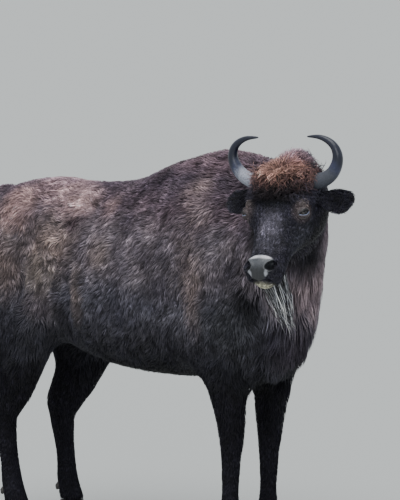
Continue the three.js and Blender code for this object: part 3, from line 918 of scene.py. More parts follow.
@dataclass(frozen=True)
class HoofFinish:
    """Hoof horn. It gives the eye dull near-black claws with growth rings and dusty scuffs."""

    name: str = "dark hoof horn"
    dark: str = "17151a"
    dusty: str = "4a443f"

    def make(self) -> bpy.types.Material:
        """Makes the material, with rings about 7 mm apart up the claw."""
        material, tree, shader = start_material(self.name)
        place = add(tree, "TexCoord").outputs["Object"]
        cloud = add(tree, "TexNoise", {"Vector": place, "Scale": 60.0, "Detail": 4.0}).outputs["Fac"]
        dust = add(tree, "TexNoise", {"Vector": place, "Scale": 22.0, "Detail": 5.0}).outputs["Fac"]
        stops = ((0.38, linear(self.dark)), (0.72, linear(self.dusty)))
        tone = add(tree, "ValToRGB", {"Fac": dust}, stops).outputs["Color"]
        scuffs = add(tree, "ValToRGB", {"Fac": cloud}, greys(0.3, 0.7, 0.7, 1.2)).outputs["Color"]
        tone = add(tree, "Mix", {0: 1.0, 6: tone, 7: scuffs}, **MULTIPLY).outputs[2]
        height = add(tree, "SeparateXYZ", {"Vector": place}).outputs["Z"]
        steps = add(tree, "Math", {0: height, 1: 900.0}, operation="MULTIPLY").outputs[0]
        rings = add(tree, "Math", {0: steps}, operation="SINE").outputs[0]
        rough = add(tree, "Math", {0: rings, 1: cloud}, operation="ADD").outputs[0]
        bump = add(tree, "Bump", {"Height": rough, "Strength": 0.4, "Distance": 0.0008}).outputs["Normal"]
        feed(tree, shader, {"Base Color": tone, "Normal": bump, "Roughness": 0.5})
        return material


@dataclass(frozen=True)
class EyeFinish:
    """A wet eyeball. It gives the eye a near-black pupil in a dark brown iris with a bluish rim."""

    name: str
    centre: Triple
    gaze: Triple

    def make(self) -> bpy.types.Material:
        """Makes the material, shaded by the angle from the way the eye looks."""
        material, tree, shader = start_material(self.name)
        place = add(tree, "TexCoord").outputs["Object"]
        arm = add(tree, "VectorMath", {0: place, 1: self.centre}, operation="SUBTRACT").outputs["Vector"]
        ray = add(tree, "VectorMath", {0: arm}, operation="NORMALIZE").outputs["Vector"]
        facing = add(tree, "VectorMath", {0: ray, 1: self.gaze}, operation="DOT_PRODUCT").outputs["Value"]
        streak = add(tree, "TexNoise", {"Vector": place, "Scale": 500.0, "Detail": 2.0}).outputs["Fac"]
        jitter = add(tree, "Math", {0: streak, 1: 0.06}, operation="MULTIPLY").outputs[0]
        turn = add(tree, "Math", {0: facing, 1: jitter}, operation="ADD").outputs[0]
        places = (0.46, 0.56, 0.80, 0.92, 0.96)
        stops = tuple(zip(places, map(linear, ("4a4e58", "120d0c", "26170f", "120b08", "040303"))))
        tone = add(tree, "ValToRGB", {"Fac": turn}, stops).outputs["Color"]
        sockets = {
            "Base Color": tone,
            "Roughness": 0.08,
            "Specular IOR Level": 0.3,
            "Coat Weight": 0.4,
            "Coat Roughness": 0.02,
        }
        feed(tree, shader, sockets)
        return material


@dataclass(frozen=True)
class LidFinish:
    """Thin wrinkled lid skin. It gives the eye a moist rim, dark above and with a painted bluish highlight
    below.
    """

    name: str = "moist lid skin"

    def make(self) -> bpy.types.Material:
        """Makes the material, which reads the painted colour, with wrinkles about 2 mm apart."""
        material, tree, shader = start_material(self.name)
        place = add(tree, "TexCoord").outputs["Object"]
        coat = add(tree, "Attribute", attribute_name="coat").outputs["Color"]
        fold = add(tree, "TexNoise", {"Vector": place, "Scale": 420.0, "Detail": 3.0}).outputs["Fac"]
        crease = add(tree, "ValToRGB", {"Fac": fold}, greys(0.3, 0.7, 0.7, 1.2)).outputs["Color"]
        tone = add(tree, "Mix", {0: 1.0, 6: coat, 7: crease}, **MULTIPLY).outputs[2]
        bump = add(tree, "Bump", {"Height": fold, "Strength": 0.4, "Distance": 0.001}).outputs["Normal"]
        feed(tree, shader, {"Base Color": tone, "Normal": bump, "Roughness": 0.45})
        return material


# ---------------------------------------------------------------- the skin


@dataclass(frozen=True)
class Stroke:
    """One push of the sculptor's thumb on both sides of the head or trunk.

    The centre, reach and push are in metres, along the head's axes or the part's own, with the
    push's side share pointing away from the middle.
    """

    centre: Triple
    radii: Triple
    push: Triple

    def apply(self, here: np.ndarray) -> np.ndarray:
        """Gives how far each point moves.

        Args:
            here: Rows along the stroke's axes, counted from the middle plane.

        Returns:
            The moves, along the same axes.
        """
        side = np.where(here[:, 1] < 0.0, -1.0, 1.0)
        gap = (one_side(here) - np.array(self.centre)) / np.array(self.radii)
        weight = np.clip(1.0 - (gap**2).sum(1), 0.0, 1.0) ** 2
        move = weight[:, None] * np.array(self.push)
        move[:, 1] *= side
        return move


@dataclass(frozen=True)
class Nostril:
    """A comma-shaped opening in the nose pad, with a raised rim."""

    centre: Triple = (0.449, 0.055, 0.000)
    facing: Triple = (0.50, 0.42, 0.76)
    along: Triple = (-0.55, 0.83, -0.05)
    half_length: float = 0.0275
    half_width: float = 0.0185
    deep: float = 0.030
    rim: float = 0.0040
    hole: float = 0.95  # the share of its size within which the opening isn't pad

    def reach(self, here: np.ndarray) -> np.ndarray:
        """Tells how far from the opening's middle each point lies, as a share of its size.

        Args:
            here: Rows of f, s and u, with s never negative.

        Returns:
            0 in the middle and 1 on the rim.
        """
        facing = unit(np.array(self.facing))
        along = np.array(self.along)
        along = unit(along - facing * (along @ facing))
        across = np.cross(facing, along)
        gap = here - np.array(self.centre)
        a, b, c = gap @ along, gap @ across, gap @ facing
        bend = b - 0.22 * (a / self.half_length) ** 2 * self.half_width
        return np.sqrt((a / self.half_length) ** 2 + (bend / self.half_width) ** 2 + (c / 0.030) ** 2)

    def apply(self, here: np.ndarray) -> np.ndarray:
        """Gives how far each point moves to open the nostril.

        Args:
            here: Rows of f, s and u.

        Returns:
            The moves, along the head's axes.
        """
        side = np.where(here[:, 1] < 0.0, -1.0, 1.0)
        share = self.reach(one_side(here))
        inside = -self.deep * np.clip(1.0 - share**2, 0.0, 1.0) ** 0.6
        rim = self.rim * np.exp(-(((share - 1.22) / 0.26) ** 2))
        move = (inside + rim)[:, None] * unit(np.array(self.facing))
        move[:, 1] *= side
        return move


@dataclass(frozen=True)
class Groove:
    """A line pressed into the head, such as the mouth, with a soft lip on each side."""

    path: tuple[Triple, ...]
    deep: float
    wide: float

    def distance(self, here: np.ndarray) -> np.ndarray:
        """Gives the distance from each point to the line.

        Args:
            here: Rows of f, s and u, with s never negative.

        Returns:
            One distance for each row.
        """
        best = np.full(len(here), 9.0)
        stops = np.array(self.path)
        for a, b in zip(stops[:-1], stops[1:]):
            edge = b - a
            t = np.clip(((here - a) @ edge) / (edge @ edge), 0.0, 1.0)
            best = np.minimum(best, np.linalg.norm(here - a - t[:, None] * edge, axis=1))
        return best

    def depth(self, here: np.ndarray) -> np.ndarray:
        """Gives how deep the line presses at each point.

        Args:
            here: Rows of f, s and u.

        Returns:
            One depth for each row, in metres.
        """
        gap = self.distance(one_side(here)) / self.wide
        return self.deep * np.exp(-(gap**2)) - 0.28 * self.deep * np.exp(-((gap - 2.1) ** 2))


class EyeSide(Enum):
    """The two eyes, each with the sign of its side along the head's axes."""

    LEFT = 1.0
    RIGHT = -1.0


@dataclass(frozen=True)
class Eye:
    """One eyeball's place, the way it looks and its lids."""

    side: EyeSide
    radius: float = 0.020
    middle: Triple = (0.214, 0.127, 0.008)
    gaze: Triple = (0.24, 0.84, 0.48)
    upper_gap: float = 0.40
    lower_gap: float = 0.30
    corner: float = 1.12
    lid_gap: float = 0.0007
    lid_thick: float = 0.0026
    around: int = 48
    rings: int = 26

    @property
    def name(self) -> str:
        """Gives the side's name."""
        return self.side.name.lower()

    def centre(self) -> np.ndarray:
        """Gives the eyeball's middle in the part's frame."""
        f, s, u = self.middle
        return HEAD.world((f, s * self.side.value, u))

    def axes(self) -> np.ndarray:
        """Gives rows for the way to the front corner, the way up to the brow, and the gaze."""
        f, s, u = self.gaze
        look = HEAD.towards(f, s * self.side.value, u)
        front = HEAD.towards(0.72, -0.10 * self.side.value, 0.68)
        front = unit(front - look * (front @ look))
        up = np.cross(look, front)
        brow = HEAD.towards(-0.55, 0.0, 0.84)
        return np.array([front, up if up @ brow > 0 else -up, look])

    def lid_edge(self, turn: np.ndarray) -> np.ndarray:
        """Gives the angle from the gaze at which the lids' edge lies.

        Args:
            turn: Angles round the gaze, from the front corner towards the brow.

        Returns:
            One angle for each turn.
        """
        height = np.where(np.sin(turn) > 0.0, self.upper_gap, self.lower_gap)
        a = np.cos(turn) / self.corner
        b = np.sin(turn) / height
        return 1.0 / (np.abs(a) ** 1.7 + np.abs(b) ** 1.7) ** (1.0 / 1.7)

    def sink(self, points: np.ndarray) -> np.ndarray:
        """Pulls the skin inside the eyeball where the lids stand in for it.

        Args:
            points: Rows in the part's frame.

        Returns:
            The moved rows.
        """
        arm = points - self.centre()
        far = np.linalg.norm(arm, axis=1)
        ahead = (arm @ self.axes()[2]) / np.maximum(far, 1e-6)
        weight = smoothstep(0.20, 0.42, ahead) * smoothstep(0.060, 0.036, far)
        target = self.centre() + arm * (0.55 * self.radius / np.maximum(far, 1e-6))[:, None]
        return points * (1.0 - weight[:, None]) + target * weight[:, None]

    def build_lids(self) -> bpy.types.Object:
        """Models the lids as one ringed shell with an almond opening.

        Returns:
            The lids.
        """
        deselect()
        shell = self.radius + self.lid_gap
        bpy.ops.mesh.primitive_uv_sphere_add(segments=self.around, ring_count=self.rings, radius=shell)
        lids = bpy.context.object
        lids.name = lids.data.name = f"lids_{self.name}"
        lids.data.uv_layers[0].name = "OFBake"
        step = math.pi / self.rings
        pole, back = shell * math.cos(step), -0.25 * shell
        for cap in (lambda z: z > pole, lambda z: z < back):
            select_faces(lids, cap(face_centres(lids)[:, 2]))
            in_edit_mode(lids, lambda: bpy.ops.mesh.delete(type="FACE"), False)
        here = points_of(lids)
        polar = np.arccos(np.clip(here[:, 2] / shell, -1.0, 1.0))
        turn = np.arctan2(here[:, 1], here[:, 0])
        edge = self.lid_edge(turn)
        last = polar.max()
        share = np.clip((polar - step) / (last - step), 0.0, 1.0)
        polar = edge + (last - edge) * share**1.15
        # the lids thicken away from the edge, the upper one in a fold over the eye
        fold = np.where(np.sin(turn) > 0.0, 0.0030 * np.sin(turn), 0.0014)
        swell = shell + fold * np.exp(-(((polar - edge - 0.38) / 0.17) ** 2)) + 0.0016 * share
        # the front corner runs out into the tear groove
        drawn = np.clip(np.cos(turn), 0.0, 1.0) ** 12 * np.exp(-((share / 0.12) ** 2))
        polar = polar + 0.10 * drawn
        ring = np.stack([np.cos(turn) * np.sin(polar), np.sin(turn) * np.sin(polar), np.cos(polar)], axis=1)
        move_points(lids, self.centre() + (ring * swell[:, None]) @ self.axes())
        in_edit_mode(lids, lambda: bpy.ops.mesh.normals_make_consistent(inside=False))
        away = points_of(lids) - self.centre()
        if (normals_of(lids) * away).sum() < 0.0:
            in_edit_mode(lids, lambda: bpy.ops.mesh.flip_normals())
        apply_modifier(lids, "SOLIDIFY", thickness=self.lid_thick, offset=1.0)
        apply_modifier(lids, "SUBSURF", levels=1, render_levels=1)
        in_edit_mode(lids, lambda: bpy.ops.mesh.normals_make_consistent(inside=False))
        bpy.ops.object.shade_smooth()
        paint(lids, "coat", self.lid_tones(points_of(lids)))
        return lids

    def from_edge(self, points: np.ndarray) -> tuple[np.ndarray, np.ndarray]:
        """Tells how far each point lies from the slit.

        Args:
            points: Rows in the part's frame.

        Returns:
            The angle past the lids' edge, and 1 on the upper lid or -1 on the lower.
        """
        ray = unit(points - self.centre()) @ self.axes().T
        polar = np.arccos(np.clip(ray[:, 2], -1.0, 1.0))
        turn = np.arctan2(ray[:, 1], ray[:, 0])
        return polar - self.lid_edge(turn), np.where(np.sin(turn) > 0.0, 1.0, -1.0)

    def lid_tones(self, points: np.ndarray) -> np.ndarray:
        """Gives the lids' colours: a dark upper rim, a pale bluish lower one that is a painted wet
        highlight, and brown folds.

        Args:
            points: Rows in the part's frame.

        Returns:
            Rows of linear colour.
        """
        past, upper = self.from_edge(points)
        tone = mix(Markings().colour(points), linear("332a2b"), smoothstep(0.8, 0.3, past) * 0.8)
        # the lower rim's pale blue is a painted highlight on the wet lid edge
        rim = np.where(upper[:, None] > 0.0, linear("080608"), linear("717990"))
        return mix(tone, rim, smoothstep(0.17, 0.09, past - 0.12 * np.maximum(upper, 0.0)))


EYES = (Eye(EyeSide.LEFT), Eye(EyeSide.RIGHT))


@dataclass
class Skin:
    """The one skin under the coat, from the nose to the coronets, with the ears and the tail."""

    voxel: float = 0.013
    overlap: float = 0.0030
    trunk_passes: int = 14
    head_passes: int = 4
    growth: Growth = field(default_factory=Growth)
    markings: Markings = field(default_factory=Markings)
    nostril: Nostril = field(default_factory=Nostril)
    mouth: Groove = Groove(
        (
            (0.504, 0.000, -0.026), (0.498, 0.028, -0.028), (0.482, 0.050, -0.042),
            (0.462, 0.067, -0.062), (0.425, 0.077, -0.084), (0.385, 0.080, -0.100),
        ),
        0.0075,
        0.0045,
    )
    philtrum: Groove = Groove(
        ((0.470, 0.0, 0.010), (0.492, 0.0, -0.006), (0.504, 0.0, -0.022)), 0.0022, 0.0032
    )
    wing: Groove = Groove(
        ((0.456, 0.050, -0.002), (0.462, 0.066, -0.020), (0.450, 0.076, -0.040)), 0.0028, 0.0040
    )
    strokes: tuple[Stroke, ...] = (
        Stroke((0.172, 0.116, 0.030), (0.062, 0.050, 0.050), (0.000, 0.008, 0.006)),
        Stroke((0.226, 0.122, -0.022), (0.055, 0.046, 0.040), (0.000, 0.009, 0.000)),
        Stroke((0.252, 0.108, 0.018), (0.040, 0.036, 0.040), (0.000, 0.004, 0.003)),
        Stroke((0.262, 0.088, 0.010), (0.034, 0.022, 0.022), (0.000, -0.004, -0.005)),
        Stroke((0.300, 0.092, -0.060), (0.100, 0.050, 0.050), (0.000, 0.006, 0.000)),
        Stroke((0.330, 0.075, -0.125), (0.090, 0.050, 0.045), (0.000, -0.010, 0.000)),
        Stroke((0.160, 0.120, -0.060), (0.070, 0.050, 0.045), (0.000, -0.007, 0.000)),
        Stroke((0.340, 0.055, 0.010), (0.085, 0.032, 0.040), (0.000, -0.006, -0.004)),
        Stroke((0.320, 0.000, 0.022), (0.110, 0.045, 0.040), (0.000, 0.000, 0.005)),
        Stroke((0.446, 0.075, -0.012), (0.040, 0.032, 0.040), (0.002, 0.007, 0.003)),
        Stroke((0.470, 0.050, -0.048), (0.050, 0.045, 0.032), (0.003, 0.007, -0.001)),
        Stroke((0.400, 0.070, -0.030), (0.045, 0.035, 0.050), (0.000, -0.006, 0.000)),
        Stroke((0.494, 0.000, -0.066), (0.050, 0.052, 0.038), (0.009, 0.000, -0.005)),
        Stroke((0.404, 0.000, 0.018), (0.022, 0.075, 0.030), (0.000, 0.000, -0.003)),
    )
    folds: tuple[Stroke, ...] = (
        Stroke((-0.345, 0.28, 0.99), (0.055, 0.16, 0.20), (0.0, -0.020, 0.0)),
        Stroke((-0.300, 0.20, 1.30), (0.080, 0.14, 0.16), (0.0, -0.012, -0.004)),
        Stroke((0.330, 0.29, 1.16), (0.050, 0.16, 0.22), (0.0, -0.012, 0.0)),
        Stroke((0.580, 0.24, 1.30), (0.070, 0.16, 0.22), (0.0, -0.012, 0.0)),
        Stroke((-0.620, 0.24, 0.98), (0.060, 0.14, 0.14), (0.0, -0.010, 0.0)),
        Stroke((0.820, 0.14, 1.15), (0.18, 0.16, 0.26), (-0.016, -0.018, 0.0)),
    )

    def build(self) -> bpy.types.Object:
        """Builds the skin.

        Returns:
            The skin's object, with its colours and its unwrap.
        """
        flesh = [copy_node(n, f"flesh_{n}", self.overlap) for n in TRUNK_NODES + TAIL_NODES + LEG_NODES]
        flesh += [copy_node(f"eye_{side}", f"flesh_eye_{side}", 0.001) for side in SIDES]
        skin = join(flesh, "skin")
        apply_modifier(skin, "REMESH", mode="VOXEL", voxel_size=self.voxel, use_smooth_shade=True)
        self.soften(skin)
        self.refine(skin, lambda c: HEAD.share(c) > 0.5)
        self.even(skin, HEAD.share, self.head_passes)
        self.refine(skin, self.fine_zone)
        self.refine(skin, self.finest_zone)
        self.even(skin, self.fine_weight, 3)
        points = points_of(skin)
        move_points(skin, points - normals_of(skin) * self.growth.depth(points)[:, None])
        self.even(skin, lambda place: np.ones(len(place)), 2)
        self.sculpt(skin)
        skin = join([skin, *[self.ear(node) for node in EAR_NODES]], "skin")
        self.dress(skin)
        return skin

    def soften(self, skin: bpy.types.Object) -> None:
        """Smooths the facets of the solids away, most on the trunk and least on the head and legs.

        Args:
            skin: The skin's object.
        """

        def weigh(points: np.ndarray) -> np.ndarray:
            """Gives each point's share of the smoothing."""
            trunk = smoothstep(0.45, 0.75, points[:, 2]) * (1.0 - 0.75 * HEAD.share(points))
            return np.clip(trunk + 0.15, 0.0, 1.0)

        self.even(skin, weigh, self.trunk_passes)

    def even(self, skin: bpy.types.Object, weigh: Callable[[np.ndarray], np.ndarray], passes: int) -> None:
        """Runs a weighted smooth over the skin.

        Args:
            skin: The skin's object.
            weigh: Gives each point's share.
            passes: How many rounds.
        """
        weights = weigh(points_of(skin))
        group = skin.vertex_groups.new(name="even")
        for level in range(1, 11):
            chosen = np.nonzero(np.round(weights * 10).astype(int) == level)[0]
            if len(chosen):
                group.add(chosen.tolist(), level / 10.0, "REPLACE")
        apply_modifier(skin, "SMOOTH", factor=0.5, iterations=passes, vertex_group="even")
        skin.vertex_groups.clear()

    def fine_zone(self, centres: np.ndarray) -> np.ndarray:
        """Chooses the faces of the muzzle and the orbits.

        Args:
            centres: Rows in the part's frame.

        Returns:
            One truth value for each row.
        """
        here = HEAD.local(centres) - np.array([0.46, 0.0, -0.035])
        muzzle = np.linalg.norm(here / np.array([0.09, 0.10, 0.10]), axis=1) < 1.0
        near = [np.linalg.norm(centres - eye.centre(), axis=1) < 0.052 for eye in EYES]
        return muzzle | near[0] | near[1]

    def finest_zone(self, centres: np.ndarray) -> np.ndarray:
        """Chooses the faces round the nostrils, the lips' edge and the lids.

        Args:
            centres: Rows in the part's frame.

        Returns:
            One truth value for each row.
        """
        flat = one_side(HEAD.local(centres))
        near = [np.linalg.norm(centres - eye.centre(), axis=1) < 0.036 for eye in EYES]
        return (self.nostril.reach(flat) < 1.9) | (self.mouth.distance(flat) < 0.014) | near[0] | near[1]

    def fine_weight(self, points: np.ndarray) -> np.ndarray:
        """Weighs the finely divided faces for one more smooth."""
        return self.fine_zone(points).astype(float)

    def refine(self, skin: bpy.types.Object, choose: Callable[[np.ndarray], np.ndarray]) -> None:
        """Halves the edges of the chosen faces.

        Args:
            skin: The skin's object.
            choose: Tells which face middles are taken.
        """
        select_faces(skin, choose(face_centres(skin)))
        in_edit_mode(skin, lambda: bpy.ops.mesh.subdivide(number_cuts=1, smoothness=0.0), False)

    def sculpt(self, skin: bpy.types.Object) -> None:
        """Presses the folds of the trunk and the head's finer forms into the skin.

        Args:
            skin: The skin's object.
        """
        points = points_of(skin)
        share = HEAD.share(points)
        for stroke in self.strokes:
            here = HEAD.local(points)
            points = points + (stroke.apply(here) * share[:, None]) @ HEAD.axes()
        for fold in self.folds:
            points = points + fold.apply(points - np.array([0.0, MIDLINE, 0.0]))
        move_points(skin, points)
        normals = normals_of(skin)
        here = HEAD.local(points)
        press = sum(line.depth(here) for line in (self.mouth, self.philtrum, self.wing))
        points = points - normals * (press * share)[:, None]
        here = HEAD.local(points)
        points = points + (self.nostril.apply(here) * share[:, None]) @ HEAD.axes()
        for eye in EYES:
            points = eye.sink(points)
        move_points(skin, points)

    def ear(self, node: str) -> bpy.types.Object:
        """Models one ear's skin from its solid, with a hollow in front.

        Args:
            node: The ear's solid.

        Returns:
            The ear's shell.
        """
        ear = copy_node(node, f"flesh_{node}")
        in_edit_mode(ear, lambda: bpy.ops.mesh.tris_convert_to_quads())
        apply_modifier(ear, "SUBSURF", levels=2, render_levels=2)
        here = HEAD.local(points_of(ear))
        side = 1.0 if node.endswith("left") else -1.0
        out = (here[:, 1] * side - 0.165) / 0.080
        middle = here[:, 2] - np.median(here[:, 2])
        normals = normals_of(ear) @ HEAD.axes().T
        front = np.clip(normals[:, 0] * 0.9 + normals[:, 2] * 0.4, 0.0, 1.0)
        hollow = 0.010 * front * np.clip(1.0 - out**2 - (middle / 0.034) ** 2, 0.0, 1.0)
        here[:, 0] -= hollow
        move_points(ear, HEAD.world(here) - normals_of(ear) * 0.0022)
        return ear

    def tones(self, points: np.ndarray) -> np.ndarray:
        """Gives the skin's colours: the coat's, darker where hair shades it, with painted highlights on the
        pad and painted shade in the nostrils and mouth.

        Args:
            points: Rows in the part's frame.

        Returns:
            Rows of linear colour.
        """
        bare = Muzzle().bare(points)
        here = HEAD.local(points)
        flat = one_side(here)
        on_head = HEAD.share(points)
        shaded = 0.55 - 0.15 * on_head + (0.45 + 0.15 * on_head) * bare
        tone = self.markings.colour(points) * shaded[:, None]
        # painted highlights: the pale upper rim of the wet pad and the pale rims below the nostrils
        rim = head_spot(0.417, 0.030, 0.020, (0.012, 0.060, 0.030), 1.0).weigh(points)
        low = head_spot(0.484, 0.037, -0.004, (0.022, 0.011, 0.018), 1.0).weigh(points)
        tone = tone * (1.0 - 0.62 * bare * smoothstep(0.440, 0.478, here[:, 0]))[:, None]
        tone = mix(tone, linear("c9c7cc"), np.clip(rim * 1.1, 0.0, 0.85) * bare)
        tone = mix(tone, linear("b4b6be"), np.clip(low, 0.0, 0.7) * bare)
        # the nostrils' insides are painted near-black: painted shade in the openings
        hole = smoothstep(1.12, 0.72, self.nostril.reach(flat)) * on_head
        tone = mix(tone, linear("060508"), hole)
        # the mouth's line is painted near-black: painted shade in its crease
        line = np.exp(-((self.mouth.distance(flat) / 0.0042) ** 2)) * on_head
        return mix(tone, linear("0b090b"), np.clip(line, 0.0, 0.95))

    def dress(self, skin: bpy.types.Object) -> None:
        """Paints the skin, gives it its finishes and unwraps it.

        Args:
            skin: The skin's object.
        """
        points = points_of(skin)
        paint(skin, "coat", self.tones(points))
        skin.data.materials.clear()
        skin.data.materials.append(SkinFinish().make())
        skin.data.materials.append(MuzzleFinish().make())
        centres = face_centres(skin)
        hole = self.nostril.reach(one_side(HEAD.local(centres))) < self.nostril.hole
        bare = (Muzzle().bare(centres) > 0.5) & ~hole
        skin.data.polygons.foreach_set("material_index", bare.astype(int))
        for layer in list(skin.data.uv_layers):
            skin.data.uv_layers.remove(layer)
        skin.data.uv_layers.new(name="OFBake")
        spread = {"angle_limit": math.radians(66), "island_margin": 0.002}
        in_edit_mode(skin, lambda: bpy.ops.uv.smart_project(**spread))
        activate(skin)
        bpy.ops.object.shade_smooth()
        flesh = TRUNK_NODES + TAIL_NODES + LEG_NODES + EAR_NODES
        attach(skin, BODY)
        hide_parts(*flesh)


# ---------------------------------------------------------------- the coat


@dataclass
class Ground:
    """The skin as the tufts see it: triangles with their places, normals and unwrap."""

    corners: np.ndarray
    normals: np.ndarray
    unwrap: np.ndarray
    areas: np.ndarray
    middles: np.ndarray

    @classmethod
    def read(cls, skin: bpy.types.Object) -> "Ground":
        """Reads the finished skin.

        Args:
            skin: The skin's object.

        Returns:
            The ground that tufts are planted on.
        """
        mesh = skin.data
        mesh.calc_loop_triangles()
        count = len(mesh.loop_triangles)
        vertex = np.empty(count * 3, np.int32)
        loop = np.empty(count * 3, np.int32)
        mesh.loop_triangles.foreach_get("vertices", vertex)
        mesh.loop_triangles.foreach_get("loops", loop)
        flat = np.empty(len(mesh.loops) * 2, np.float32)
        mesh.uv_layers["OFBake"].uv.foreach_get("vector", flat)
        points, normals = points_of(skin), normals_of(skin)
        corners = points[vertex].reshape(-1, 3, 3)
        cross = np.cross(corners[:, 1] - corners[:, 0], corners[:, 2] - corners[:, 0])
        return cls(
            corners,
            normals[vertex].reshape(-1, 3, 3),
            flat.reshape(-1, 2)[loop].reshape(-1, 3, 2).astype(float),
            0.5 * np.linalg.norm(cross, axis=1),
            corners.mean(axis=1),
        )

    def plant(self, rate: np.ndarray, rng: np.random.Generator) -> "Roots":
        """Chooses roots at random, so many for each square metre.

        Args:
            rate: Roots for each square metre on each triangle.
            rng: The seeded source of chance.

        Returns:
            The roots.
        """
        share = self.areas * rate
        count = int(share.sum())
        if count < 1:
            return Roots(np.empty((0, 3)), np.empty((0, 3)), np.empty((0, 2)))
        face = rng.choice(len(share), count, p=share / share.sum())
        a, b = np.sqrt(rng.random(count)), rng.random(count)
        weights = np.stack([1.0 - a, a * (1.0 - b), a * b], axis=1)[:, :, None]
        return Roots(
            (self.corners[face] * weights).sum(1),
            unit((self.normals[face] * weights).sum(1)),
            (self.unwrap[face] * weights).sum(1),
        )

    def plant_some(self, rate: np.ndarray, number: int, rng: np.random.Generator) -> "Roots":
        """Chooses about so many roots in all, at random.

        Args:
            rate: How thickly they stand on each triangle, one against another.
            number: How many there are in all.
            rng: The seeded source of chance.

        Returns:
            The roots.
        """
        return self.plant(rate * number / max((rate * self.areas).sum(), 1e-9), rng)


@dataclass
class Roots:
    """Where tufts grow: places, the skin's normals there and its unwrap."""

    points: np.ndarray
    normals: np.ndarray
    unwrap: np.ndarray

    def keep(self, chosen: np.ndarray) -> "Roots":
        """Keeps some of the roots.

        Args:
            chosen: A truth value or an index for each kept root.

        Returns:
            The kept roots.
        """
        return Roots(self.points[chosen], self.normals[chosen], self.unwrap[chosen])


